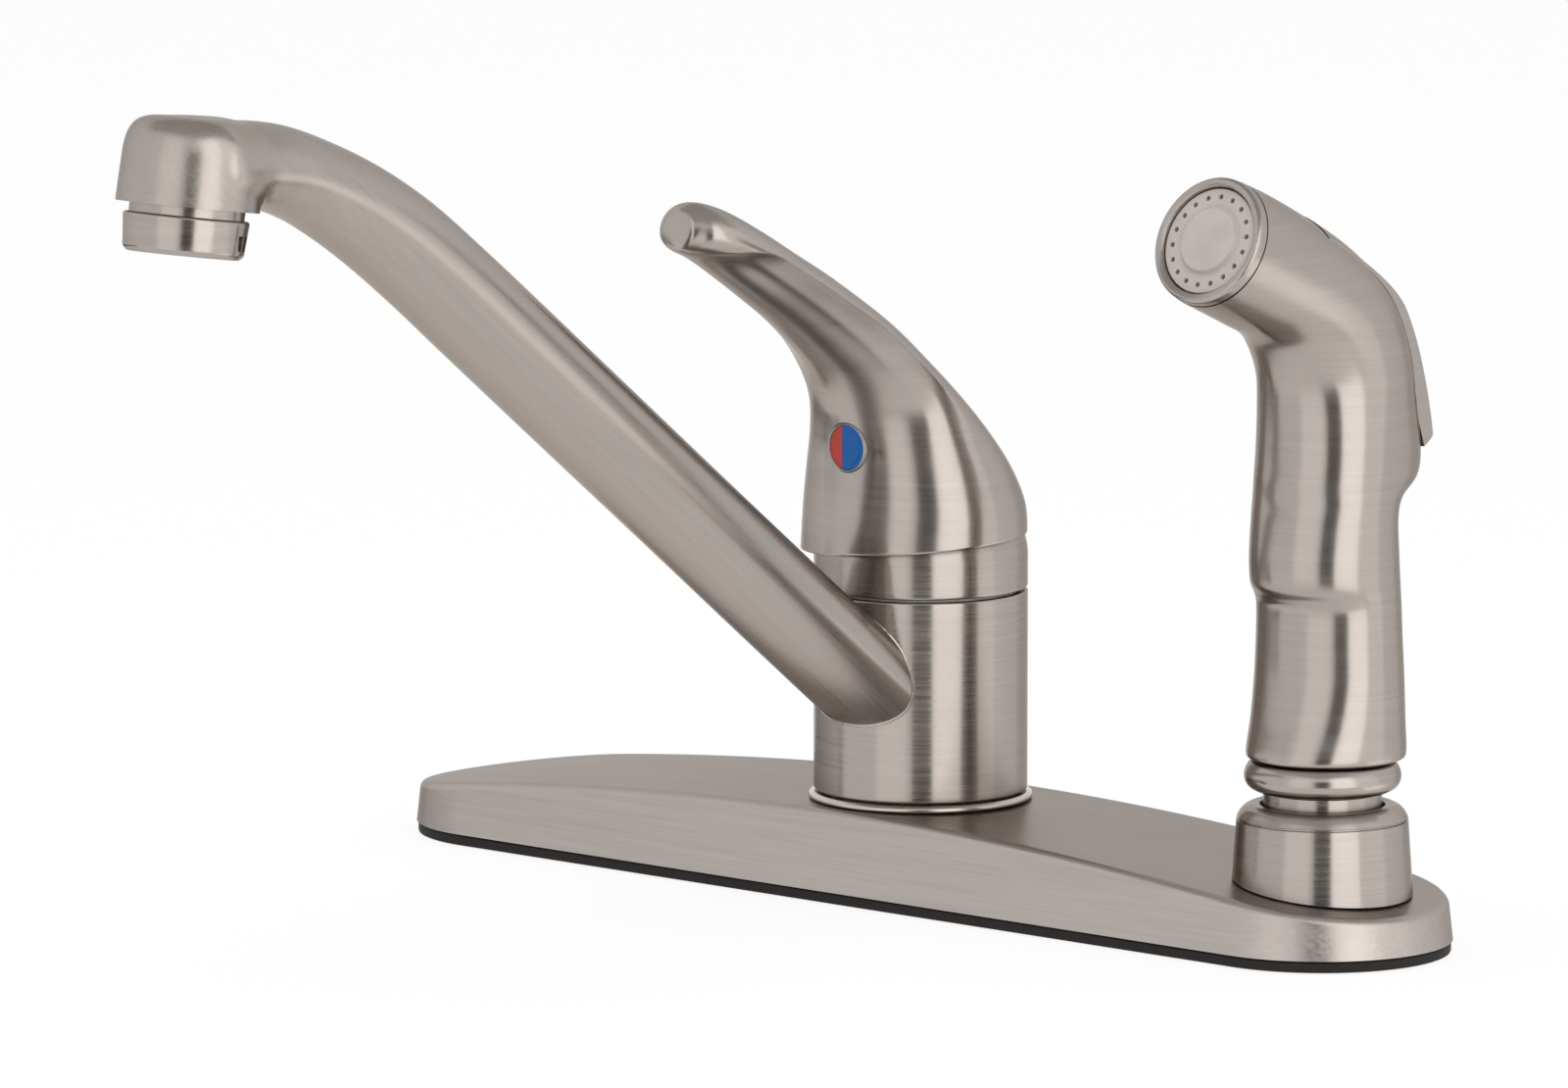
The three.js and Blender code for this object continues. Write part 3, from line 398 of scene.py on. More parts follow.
class Graph:
    """Builds the node graph of one material or world."""

    def __init__(self, name: str, world: bool = False) -> None:
        """Makes the owner of the graph, with the bare shader that it starts with.

        Args:
            name: The owner's name.
            world: Whether it is a world and not a material.
        """
        self.owner = (bpy.data.worlds if world else bpy.data.materials).new(name)
        self.owner.use_nodes = True
        self.nodes = self.owner.node_tree.nodes
        self.shader = self.nodes["Background" if world else "Principled BSDF"]

    def feed(self, node: bpy.types.Node, inputs: dict[int | str, object]) -> None:
        """Links or sets a node's inputs.

        Args:
            node: The node.
            inputs: An output to link, or else a value, for each input by name or number.
        """
        for key, value in inputs.items():
            if isinstance(value, Socket):
                self.owner.node_tree.links.new(value, node.inputs[key])
            else:
                node.inputs[key].default_value = value

    def add(
        self, kind: str, inputs: Optional[dict[int | str, object]] = None, **settings: object
    ) -> bpy.types.Node:
        """Adds a node.

        Args:
            kind: The node's type name, less its ShaderNode prefix.
            inputs: Values or output sockets for its inputs, by name or number.
            **settings: Attributes to set on it.

        Returns:
            The node.
        """
        node = self.nodes.new("ShaderNode" + kind)
        for key, value in settings.items():
            setattr(node, key, value)
        self.feed(node, inputs or {})
        return node

    def shaded(self, inputs: dict[int | str, object]) -> bpy.types.Material | bpy.types.World:
        """Feeds the shader and gives the graph's owner."""
        self.feed(self.shader, inputs)
        return self.owner

    def tinted(self, factor: Socket, color: Color, low: float, high: float) -> Socket:
        """Turns a noise into a colour.

        Args:
            factor: The noise.
            color: The colour's middle tone.
            low: The share of it where the noise is low.
            high: The share of it where the noise is high.

        Returns:
            The colour.
        """
        node = self.add("ValToRGB", {"Fac": factor})
        for stop, place, tone in zip(node.color_ramp.elements, (0.3, 0.7), (low, high)):
            stop.position = place
            stop.color = (*(min(1.0, part * tone) for part in color), 1)
        return node.outputs["Color"]

    def spread(self, factor: Socket, low: float, high: float) -> Socket:
        """Maps a factor of 0.3 to 0.7, which is most of a noise, on a range."""
        limits = {"Value": factor, "From Min": 0.3, "From Max": 0.7, "To Min": low, "To Max": high}
        return self.add("MapRange", limits).outputs["Result"]

    def noise(self, place: Socket, scale: float, detail: float = 3) -> Socket:
        """Adds a noise texture and gives its factor."""
        return self.add("TexNoise", {"Vector": place, "Scale": scale, "Detail": detail}).outputs["Fac"]

    def bump(self, height: Socket, strength: float, distance: float) -> Socket:
        """Gives the normal of a surface with a fine relief."""
        inputs = {"Strength": strength, "Distance": distance, "Height": height}
        return self.add("Bump", inputs).outputs[0]

    def calc(self, operation: str, first: Socket, second: Socket | float) -> Socket:
        """Gives what an operation makes of two values."""
        return self.add("Math", {0: first, 1: second}, operation=operation).outputs[0]

    def place(self) -> Socket:
        """Gives the surface point in the object's own frame."""
        return self.add("TexCoord").outputs["Object"]

    def backdrop_rays(self) -> Socket:
        """Tells the rays that see the surroundings, straight or in metal, from those that light.

        Returns:
            1 on camera, glossy and transmission rays, and 0 on the others.
        """
        paths = self.add("LightPath").outputs
        seen = paths["Is Camera Ray"]
        for kind in ("Is Transmission Ray", "Is Glossy Ray"):
            seen = self.calc("MAXIMUM", seen, paths[kind])
        return seen


@dataclass(frozen=True)
class SatinMetal:
    """Plated metal with fine brush marks."""

    name: str
    color: Color
    brush: Brush
    roughness: float = 0.3
    contrast: float = 0.06
    stretch: float = 0.0
    relief: float = 0.2
    edge: Color = (0.62, 0.58, 0.55)
    arm_lean: float = math.radians(37)

    def build(self) -> bpy.types.Material:
        """Makes the material.

        Returns:
            The material.
        """
        graph = Graph(self.name)
        turn = (self.arm_lean, 0, 0) if self.brush is Brush.ARM else (0, 0, 0)
        lean = graph.add("Mapping", {"Vector": graph.place(), "Rotation": turn}).outputs[0]
        marks = graph.add("Mapping", {"Vector": lean, "Scale": self.brush.value}).outputs[0]
        fine, broad = graph.noise(marks, 1.0, 4), graph.noise(marks, 0.22, 2)
        patches = graph.noise(graph.place(), 60, 2)
        tint = graph.tinted(fine, self.color, 1 - self.contrast, 1 + self.contrast)
        drift = graph.tinted(broad, (1, 1, 1), 0.95, 1)
        mixed = graph.add("Mix", {0: 1.0, 6: tint, 7: drift}, data_type="RGBA", blend_type="MULTIPLY")
        rough = graph.spread(fine, self.roughness - self.relief / 5, self.roughness + self.relief / 4)
        inputs = {
            "Base Color": mixed.outputs[2],
            "Metallic": 1.0,
            "Roughness": graph.calc("ADD", rough, graph.spread(patches, -0.015, 0.015)),
            "Specular Tint": (*self.edge, 1),
            "Anisotropic": self.stretch,
            "Normal": graph.bump(fine, self.relief, 0.00002),
        }
        if self.stretch:
            tangent = graph.add("Tangent", direction_type="RADIAL", axis="Z")
            inputs.update({"Tangent": tangent.outputs[0], "Anisotropic Rotation": 0.25})
        return graph.shaded(inputs)


@dataclass(frozen=True)
class PlainMetal:
    """Turned, cast or drawn metal without brush marks."""

    name: str
    color: Color
    roughness: float = 0.3
    grain: float = 900.0

    def build(self) -> bpy.types.Material:
        """Makes the material.

        Returns:
            The material.
        """
        graph = Graph(self.name)
        place = graph.place()
        grain = graph.noise(place, self.grain, 4)
        return graph.shaded({
            "Base Color": graph.tinted(graph.noise(place, 70, 3), self.color, 0.9, 1.05),
            "Metallic": 1.0,
            "Roughness": graph.spread(grain, self.roughness - 0.05, self.roughness + 0.07),
            "Normal": graph.bump(grain, 0.15, 0.00004),
        })


@dataclass(frozen=True)
class Moulded:
    """Moulded plastic, rubber or ceramic."""

    name: str
    color: Color
    roughness: float = 0.5
    grain: float = 1400.0
    relief: float = 0.00004
    gloss: float = 0.0
    shine: float = 0.5

    def build(self) -> bpy.types.Material:
        """Makes the material.

        Returns:
            The material.
        """
        graph = Graph(self.name)
        place = graph.place()
        grain = graph.noise(place, self.grain, 3)
        return graph.shaded({
            "Base Color": graph.tinted(graph.noise(place, 130, 2), self.color, 0.92, 1.06),
            "Roughness": graph.spread(grain, self.roughness - 0.05, self.roughness + 0.06),
            "Normal": graph.bump(grain, 0.35, self.relief),
            "Specular IOR Level": self.shine,
            "Coat Weight": self.gloss,
            "Coat Roughness": 0.12,
        })


NICKEL: Color = (0.39, 0.355, 0.33)
PLATE_NICKEL: Color = (0.43, 0.395, 0.37)


class Finishes:
    """Every finish of the faucet, each made once."""

    def __init__(self) -> None:
        """Makes the materials."""
        self.turned_nickel = SatinMetal("nickel_turned", NICKEL, Brush.AROUND, 0.24, stretch=0.88).build()
        self.plate_nickel = SatinMetal("nickel_plate", PLATE_NICKEL, Brush.LENGTHWISE, 0.33).build()
        self.arm_nickel = SatinMetal("nickel_arm", NICKEL, Brush.ARM, 0.28, 0.035, relief=0.1).build()
        self.cast_nickel = SatinMetal("nickel_cast", NICKEL, Brush.AROUND, 0.24, 0.03, 0.7, 0.08).build()
        self.ring_nickel = SatinMetal("nickel_ring", NICKEL, Brush.AROUND, 0.2, 0.04).build()
        self.bright = PlainMetal("bright_metal", (0.5, 0.47, 0.44), 0.2).build()
        self.brass = PlainMetal("brass", (0.46, 0.3, 0.08), 0.34).build()
        self.steel = PlainMetal("zinc_steel", (0.42, 0.43, 0.44), 0.36).build()
        self.rubber = Moulded("rubber", (0.03, 0.028, 0.026), 0.7).build()
        self.black = Moulded("black_plastic", (0.016, 0.0125, 0.011), 0.6, shine=0.18).build()
        self.white = Moulded("white_plastic", (0.72, 0.71, 0.68), 0.4).build()
        self.grey = Moulded("grey_plastic", (0.42, 0.39, 0.365), 0.42, relief=0.00002).build()
        self.ceramic = Moulded("ceramic", (0.85, 0.85, 0.84), 0.2, gloss=0.5).build()
        self.red = Moulded("red_plastic", (0.47, 0.05, 0.035), 0.32, shine=0.3).build()
        self.blue = Moulded("blue_plastic", (0.0, 0.11, 0.4), 0.32, shine=0.25).build()


def piece(
    name: str,
    shape: BMesh,
    finish: bpy.types.Material,
    body: str,
    replaces: Sequence[str] = (),
    crease: float = CREASE,
) -> bpy.types.Object:
    """Turns a shape in millimetres into a finished piece of the object.

    Args:
        name: The piece's name.
        shape: Its closed surface; it is used up.
        finish: Its material.
        body: The CAD body that it rides on.
        replaces: The CAD nodes that it stands for.
        crease: The angle above which an edge stays sharp.

    Returns:
        The piece.
    """
    bmesh.ops.recalc_face_normals(shape, faces=shape.faces[:])
    shape.transform(Matrix.Scale(MM, 4))
    for face in shape.faces:
        face.smooth = True
    for edge in shape.edges:
        edge.smooth = len(edge.link_faces) == 2 and edge.calc_face_angle(0) < crease
    made = as_object(name, shape)
    made.data.materials.append(finish)
    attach(made, body)
    if replaces:
        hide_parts(*replaces)
    LOG.info("%s: %d faces on %s", name, len(made.data.polygons), body)
    return made


def softened(
    name: str, node: str, finish: bpy.types.Material, body: str, width: float
) -> None:
    """Rebuilds a small CAD piece with rounded edges.

    Args:
        name: The new piece's name.
        node: The CAD node whose form it takes and that it stands for.
        finish: Its material.
        body: The CAD body that it rides on.
        width: How wide its edges are rounded, in millimetres.
    """
    shape = bmesh.new()
    shape.from_mesh(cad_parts[node].data)
    moved(shape, Matrix.Scale(1 / MM, 4))
    bmesh.ops.remove_doubles(shape, verts=shape.verts[:], dist=1e-3)
    bmesh.ops.dissolve_limit(
        shape, angle_limit=math.radians(1.5), verts=shape.verts[:], edges=shape.edges[:]
    )
    made = piece(name, shape, finish, body, [node])
    bevel = made.modifiers.new("rounding", "BEVEL")
    bevel.width = width * MM
    bevel.segments = 2
    bevel.limit_method = "ANGLE"
    bevel.angle_limit = CREASE


def dress(node: str, finish: bpy.types.Material) -> None:
    """Gives a CAD node that stays its finish.

    Args:
        node: The node's name.
        finish: Its material.
    """
    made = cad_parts[node]
    if not made.material_slots:
        made.data.materials.append(finish)
    for place in made.material_slots:
        place.material = finish
    LOG.info("%s: CAD node dressed", node)


# ---------------- deck plate


@dataclass
class DeckPlate:
    """The long crowned plate, its gasket and the bright ring under the faucet body."""

    finishes: Finishes
    half_length: float = 126.3
    half_width: float = 25.7
    height: float = 18.2
    crown_radius: float = 893.0
    bottom: float = 2.3
    wall: float = 2.2
    draft: float = 0.045
    edge: float = 1.6
    gasket_height: float = 2.0
    tower_hole: float = 17.6
    holder_hole: float = 11.7
    stud_hole: float = 3.3
    stud_boss: float = 6.0
    stud_boss_top: float = 11.2
    window_centre: float = 57.0
    window_half: tuple[float, float] = (27.0, 17.0)
    window_rounding: float = 4.0

    def crown(self, x: np.ndarray) -> np.ndarray:
        """Gives the height of the plate's top at a distance from the faucet's axis."""
        return self.height - x * x / (2 * self.crown_radius)

    def outline(self, inset: float, arc: int = 40, straight: int = 48) -> np.ndarray:
        """Gives the points round the plate; each has a twin at the same x.

        Args:
            inset: How far they are drawn in.
            arc: Points in each round end.
            straight: Points in each long side.

        Returns:
            The points, as (x, y).
        """
        radius = self.half_width - inset
        reach = self.half_length - self.half_width
        along = np.linspace(-reach, reach, straight, endpoint=False)
        turn = np.linspace(-math.pi / 2, math.pi / 2, arc, endpoint=False)
        side = np.column_stack([along, np.full(straight, -radius)])
        end = np.column_stack([reach + radius * np.cos(turn), radius * np.sin(turn)])
        half = np.vstack([side, end])
        return np.vstack([half, -half])

    def shell_rings(self, bottom: float, inset: float, drop: float) -> list[np.ndarray]:
        """Gives the rings of one skin of the plate.

        Args:
            bottom: The height of its lower edge.
            inset: How far it is drawn in from the outside.
            drop: How far it lies below the top.

        Returns:
            Its rings, from the lower edge to the ridge.
        """
        lean = self.draft * (self.height - bottom)
        rings = []
        for share in (0.0, 0.04, 0.35, 0.7, 0.96, 1.0):
            flat = self.outline(inset + lean * share)
            top = self.crown(flat[:, 0]) - drop - self.edge
            rings.append(np.column_stack([flat, bottom + (top - bottom) * share]))
        for step in range(1, 9):
            angle = math.pi / 2 * step / 8
            flat = self.outline(inset + lean + self.edge * (1 - math.cos(angle)))
            top = self.crown(flat[:, 0]) - drop - self.edge * (1 - math.sin(angle))
            rings.append(np.column_stack([flat, top]))
        rim = self.outline(inset + lean + self.edge)
        reach = self.half_length - self.half_width
        ridge = np.column_stack([np.clip(rim[:, 0], -reach, reach), np.zeros(len(rim))])
        for share in (0.04, 0.3, 0.6, 0.85, 1.0):
            flat = rim + (ridge - rim) * share
            rings.append(np.column_stack([flat, self.crown(flat[:, 0]) - drop]))
        return rings

    def shell(self) -> BMesh:
        """Makes the pressed shell with its stud boss and holes.

        Returns:
            The shell.
        """
        outside = self.shell_rings(self.bottom, 0, 0)
        inside = self.shell_rings(self.bottom, self.wall, self.wall)
        shape = skin(np.stack([*reversed(inside), *outside]), caps=False)
        radius, low, high = self.stud_boss, self.bottom, self.stud_boss_top
        boss = turned([(0, low), (radius, low, 0.4), (radius, high), (0, high)], 48)
        shape = combined(shape, moved(boss, AT_STUD), Cut.JOINED)
        tower = rod((0, 0, 8), (0, 0, 30), self.tower_hole, 72)
        holder = rod((HOLE_SPACING, 0, 8), (HOLE_SPACING, 0, 30), self.holder_hole, 64)
        bore = rod((-HOLE_SPACING, 0, 0), (-HOLE_SPACING, 0, 9), self.stud_hole)
        return carved(shape, tower, holder, bore)

    def gasket(self) -> BMesh:
        """Makes the black moulded gasket with its two windows.

        Returns:
            The gasket.
        """
        high = self.gasket_height
        levels = [(0.75, 0), (0.45, 0.12), (0.35, 0.4), (0.35, high - 0.2), (0.5, high)]
        shape = skin(np.stack([np.insert(self.outline(inset), 2, z, axis=1) for inset, z in levels]))
        x, y = self.window_half
        windows = []
        for centre in (-self.window_centre, self.window_centre):
            window = block((centre - x, -y, -1), (centre + x, y, 3))
            uprights = [e for e in window.edges if abs(e.verts[0].co.z - e.verts[1].co.z) > 1]
            rounding = {"offset": self.window_rounding, "segments": 6, "profile": 0.5}
            bmesh.ops.bevel(window, geom=uprights, affect="EDGES", **rounding)
            windows.append(window)
        places = ((0, 15.1), (HOLE_SPACING, 11.8), (-HOLE_SPACING, 3.6))
        return carved(shape, *windows, *(rod((x, 0, -1), (x, 0, 3), radius) for x, radius in places))

    def ring(self) -> BMesh:
        """Makes the bright ring that the faucet body stands on."""
        outline = [(17.4, 18.5), (21.8, 18.5, 0.15), (21.8, 19.2, 0.5), (21.1, 19.7, 0.2), (17.4, 19.7)]
        return turned(outline, 128)

    def build(self) -> None:
        """Makes and dresses the pieces."""
        f = self.finishes
        piece("plate_shell", self.shell(), f.plate_nickel, "base", ["deck_plate"])
        piece("plate_gasket", self.gasket(), f.black, "base", ["deck_gasket"])
        piece("body_ring", self.ring(), f.bright, "base", ["base_ring"])


# ---------------- faucet body


@dataclass
class Body:
    """The turning hub, the bonnet cap above it and what the tower holds inside."""

    finishes: Finishes
    hub_radius: float = 20.85
    hub_bottom: float = 20.1
    hub_top: float = 59.3
    hub_bore: float = 17.3
    cap_bottom: float = 59.9
    cap_top: float = 74.0
    shoulder_radius: float = 12.4
    shoulder_height: float = 66.0
    cap_wall: float = 2.0
    way_radius: float = 5.5

    def hub(self) -> BMesh:
        """Makes the sleeve that carries the spout.

        Returns:
            The sleeve, open where the spout's way enters it.
        """
        low, high, outer = self.hub_bottom, self.hub_top, self.hub_radius
        shape = turned([
            (19.5, low), (outer, low, 0.45), (outer, low + 1), (outer, high - 1), (outer, high, 0.5),
            (19.5, high), (19.5, high - 1.7), (self.hub_bore, high - 1.7),
            (self.hub_bore, low + 1.9), (19.5, low + 1.9),
        ], 160)
        return carved(shape, rod((0, -14, 41), (0, -37.9, 59.1), self.way_radius, 32))

    def shoulder(self, radius: float, top: float, steps: int = 14) -> list[tuple[float, float]]:
        """Gives the rounded shoulder's profile, from its foot to a height.

        Args:
            radius: Its rounding.
            top: The height.
            steps: Edges in it.

        Returns:
            Its points, as (radius, height).
        """
        last = math.asin((top - self.shoulder_height) / radius)
        centre = self.hub_radius - self.shoulder_radius
        angles = [last * i / steps for i in range(steps + 1)]
        return [
            (centre + radius * math.cos(a), self.shoulder_height + radius * math.sin(a)) for a in angles
        ]

    def cap(self) -> BMesh:
        """Makes the domed bonnet cap.

        Returns:
            The cap.
        """
        outside = self.shoulder(self.shoulder_radius, self.cap_top)
        inside = self.shoulder(self.shoulder_radius - self.cap_wall, self.cap_top - self.cap_wall)
        return turned([
            (self.hub_bore, self.cap_bottom), (self.hub_radius, self.cap_bottom, 0.4),
            (self.hub_radius, self.cap_bottom + 1), *outside, (13, self.cap_top, 0.3),
            (13, self.cap_top - self.cap_wall), *reversed(inside), (self.hub_bore, 65),
        ], 160)

    def build(self) -> None:
        """Makes and dresses the pieces."""
        f = self.finishes
        piece("hub_sleeve", self.hub(), f.turned_nickel, "spout", ["spout_hub"])
        piece("cap_shell", self.cap(), f.turned_nickel, "base", ["bonnet_cap"])
        inner = (
            (f.brass, ("valve_body", "cartridge_nut")),
            (f.rubber, ("lower_hub_seal", "upper_hub_seal", "diverter_piston")),
            (f.white, ("lower_swivel_washer", "upper_swivel_washer", "diverter_seat")),
            (f.white, ("cartridge_base", "cartridge_housing")),
            (f.ceramic, ("fixed_ceramic_disc", "moving_ceramic_disc")),
            (f.grey, ("stem_carrier",)),
            (f.steel, ("stem_pin", "lever_stem", "handle_screw")),
        )
        for finish, nodes in inner:
            for node in nodes:
                dress(node, finish)


# ---------------- handle

HANDLE_SECTIONS = [
    # front point (y, z), widest point (y, z), back point (y, z), half width, rim overhang
    [-23, 65.5, -2.1, 65.5, 17.6, 65.5, 23, 0],
    [-22.7, 71, -1.8, 71, 18.7, 71, 22.9, 0],
    [-22.1, 77, -2, 77, 18, 77, 22.6, 0],
    [-21.7, 83.5, -3.5, 84, 14.2, 84, 21.2, 0],
    [-21.5, 90, -6.7, 91.1, 8.6, 90.8, 19.4, 0.2],
    [-22.3, 96.6, -11.8, 98.8, 1.6, 97.4, 17.8, 0.6],
    [-25.8, 102.6, -18.8, 106.1, -7.4, 105.3, 16.4, 0.9],
    [-32, 108.5, -27.1, 113.4, -18.9, 114.8, 14.9, 1],
    [-40.3, 114.9, -37.2, 120.1, -33.6, 124.5, 13.2, 1],
    [-49.5, 120.8, -46.6, 125.8, -44.1, 130.4, 12, 1],
    [-57.7, 125.8, -55, 130.4, -52.9, 135.4, 10.9, 1],
    [-63.8, 129.1, -61.4, 133.2, -60, 139, 9.5, 0.8],
    [-68.1, 130.8, -66.5, 135.2, -65.3, 140.5, 7.4, 0.5],
    [-69.9, 131.7, -69.3, 135.8, -68.6, 139.8, 4.3, 0.2],
]


@dataclass
class Handle:
    """The lever handle with its index button."""

    finishes: Finishes
    rings: int = 170
    sides: int = 200
    cavity_radius: float = 22.15
    skirt_height: float = 69.0
    skirt_normal: tuple[float, float, float] = (-0.06985, -0.04998, 0.9963)
    rim_edge: float = 0.35
    stem_lean: float = math.radians(11)
    stem_half: float = 3.3
    button_height: float = 89.0
    button_radius: float = 4.65
    recess_radius: float = 4.9
    button_face: float = -21.9
    button_back: float = -19.6
    split: float = -1.1
    nose_depth: float = 0.9
    nose_axis: tuple[float, float, float] = (0, -0.987, 0.158)
    hollow: float = 1.9
    keel: float = 0.5
    rim_softness: float = 0.2
    rim_angle: float = math.radians(5)
    rim_turn: float = math.radians(95)

    def points(self, places: np.ndarray, angle: np.ndarray) -> np.ndarray:
        """Gives points of the handle's outside.

        Args:
            places: Where along the section table.
            angle: Where round the section.

        Returns:
            The points, in millimetres.
        """
        row = rows_at(HANDLE_SECTIONS, places)
        front, mid, back = row[..., 0:2], row[..., 2:4], row[..., 4:6]
        width, lip = row[..., 6], row[..., 7]
        outer = section(front, mid, back, width, angle)
        # The rim runs along the side and passes under the lever behind its tip.
        rim = self.rim_angle - self.rim_turn * smooth_step(places, 9.5, 3.6)
        slope = np.arcsin(np.sin(angle))
        keel = smooth_step(-slope, 0.6, 0.9)
        under = (1 - np.exp(-np.maximum(rim - slope, 0) / self.rim_softness)) * (1 - keel)
        fade = 1 - smooth_step(places, 9.6, 2.9)
        hollow = lip * fade * (self.hollow * under - self.keel * keel)
        centre = np.concatenate([np.zeros_like(width)[..., None], mid], axis=-1)
        spoke = outer - centre
        length = np.linalg.norm(spoke, axis=-1)
        return centre + spoke * (1 - hollow / np.maximum(length, 1e-6))[..., None]

    def skirt_places(self, angle: np.ndarray) -> np.ndarray:
        """Finds where each line along the handle meets the skirt's plane.

        Args:
            angle: The lines, by their angle round the section.

        Returns:
            Their places along the section table.
        """
        trial = np.linspace(0, 3, 301)
        normal = np.array(self.skirt_normal)
        foot = normal @ np.array([0, 0, self.skirt_height])
        grid = self.points(trial[:, None], angle[None, :])
        above = grid @ normal - foot
        index = np.argmax(above > 0, axis=0)
        column = np.arange(len(angle))
        low, high = above[index - 1, column], above[index, column]
        return trial[index - 1] + (trial[1] - trial[0]) * (-low / (high - low))

    def outside(self) -> np.ndarray:
        """Lofts the outside.

        Returns:
            Its rings, from the skirt's edge to the nose.
        """
        angle = np.linspace(0, 2 * math.pi, self.sides, endpoint=False)
        start = self.skirt_places(angle)
        last = len(HANDLE_SECTIONS) - 1
        share = np.linspace(0, 1, self.rings)[:, None]
        return self.points(start[None, :] + (last - start[None, :]) * share, angle[None, :])

    def nose(self, last: np.ndarray) -> list[np.ndarray]:
        """Rounds the lever off.

        Args:
            last: Its last ring.

        Returns:
            The rings beyond that one.
        """
        centre = last.mean(axis=0)
        rings = []
        for angle in np.radians([20, 38, 54, 68, 80]):
            ahead = np.array(self.nose_axis) * self.nose_depth * math.sin(angle)
            rings.append(centre + (last - centre) * math.cos(angle) + ahead)
        return rings

    def inside(self, edge: np.ndarray) -> list[np.ndarray]:
        """Lofts the ball-shaped hollow.

        Args:
            edge: The ring of the skirt's outer edge.

        Returns:
            The hollow's rings, from its top to the skirt's edge.
        """
        normal = np.array(self.skirt_normal)
        centre = np.array([0, 0, PIVOT_HEIGHT])
        height = normal @ np.array([0, 0, self.skirt_height - PIVOT_HEIGHT])
        first = math.asin(height / self.cavity_radius)
        spoke = edge - (centre + normal * height)
        spoke /= np.linalg.norm(spoke, axis=1)[:, None]
        rings = []
        for angle in np.linspace(math.pi / 2 - 0.02, first, 28):
            level = centre + normal * self.cavity_radius * math.sin(angle)
            rings.append(level + spoke * self.cavity_radius * math.cos(angle))
        return rings

    def with_stem(self, shape: BMesh) -> BMesh:
        """Leans a shape made about the upright stem forward with it."""
        lean = Matrix.Rotation(self.stem_lean, 4, "X")
        return moved(shape, Matrix.Translation((0, 0, PIVOT_HEIGHT)) @ lean)

    def shell(self) -> BMesh:
        """Makes the hollow handle with its stem socket, screw hole and button recess.

        Returns:
            The handle.
        """
        outside = self.outside()
        edge = outside[0]
        inside = self.inside(edge)
        normal = np.array(self.skirt_normal)
        across = (edge - inside[-1]) / np.linalg.norm(edge - inside[-1], axis=1)[:, None]
        size = self.rim_edge
        rim = [
            inside[-1] + across * 0.1,
            edge - across * size,
            edge + (normal - across) * 0.3 * size,
            edge + normal * size,
        ]
        shape = skin(np.stack([*inside, *rim, *outside[1:], *self.nose(outside[-1])]))
        half, height = self.stem_half, self.button_height
        socket = self.with_stem(block((-half, -half, 15), (half, half, 33.8)))
        screw = self.with_stem(rod((0, -2, 30.6), (0, -15.5, 30.6), 2.3, 32))
        recess = rod((0, -40, height), (0, self.button_back + 0.3, height), self.recess_radius, 64)
        return carved(shape, socket, screw, recess)

    def button(self) -> BMesh:
        """Makes the button with its thin pale rim.

        Returns:
            The button.
        """
        depth = self.button_back - self.button_face
        rim, outer = self.button_radius - 0.15, self.button_radius
        shape = turned([
            (0, 0), (outer, 0), (outer, depth, 0.05), (rim, depth), (rim, depth - 1.1), (0, depth - 1.1),
        ], 72)
        return self.at_button(shape, self.button_back)

    def at_button(self, shape: BMesh, depth: float) -> BMesh:
        """Turns a shape made about +Z to look out of the handle's front, from a depth."""
        turn = Matrix.Rotation(math.pi / 2, 4, "X")
        return moved(shape, Matrix.Translation((0, depth, self.button_height)) @ turn)

    def mark(self, low: float, high: float) -> BMesh:
        """Makes one part of the round index mark.

        Args:
            low: Where it starts in X.
            high: Where it ends in X.

        Returns:
            The part.
        """
        disc = turned([
            (0, 0), (4.42, 0), (4.42, 0.7, 0.15), (3.5, 0.7, 0.08), (3.3, 0.82, 0.08), (0, 0.82),
        ], 72)
        half = combined(disc, block((low, -9, -1), (high, 9, 3)), Cut.COMMON)
        return self.at_button(half, self.button_face + 1.0)

    def build(self) -> None:
        """Makes and dresses the pieces."""
        f = self.finishes
        piece("handle_shell", self.shell(), f.cast_nickel, "lever", ["handle"])
        piece("button_rim", self.button(), f.grey, "lever", ["index_button"])
        piece("mark_cold", self.mark(self.split + 0.03, 9), f.blue, "lever", ["index_cold"])
        piece("mark_hot", self.mark(-9, self.split - 0.03), f.red, "lever", ["index_hot"])


# ---------------- spout

SPOUT_SECTIONS = [
    # centre (y, z), lean in degrees, half width, half height
    [-8, 36.3, 37.1, 12.7, 8.9],
    [-38.1, 59, 37.1, 12.7, 8.9],
    [-68.1, 81.7, 37.1, 12.7, 8.8],
    [-98.1, 104.4, 37.1, 12.7, 8.8],
    [-122.1, 122.6, 37.1, 12.6, 8.8],
    [-136, 133.1, 36, 12.5, 8.7],
    [-147.9, 141.6, 33, 12.4, 8.7],
    [-159, 148.3, 28.5, 12.3, 8.4],
    [-170, 153.6, 22, 12.2, 8],
    [-181, 157.3, 13.5, 12.4, 8],
    [-192, 158.8, 7, 12.4, 7.9],
    [-199, 159.3, 3, 12, 7.7],
]
OUTLET_BOSS = [
    (0, -6), (13.2, -6), (13.2, 0), (13.0, 5), (12.75, 10), (12.5, 11.5), (12.1, 12.9), (11.5, 14),
    (10.7, 14.9), (9.6, 15.5), (8.4, 15.9), (7, 16.1), (5, 16.2), (0, 16.25),
]


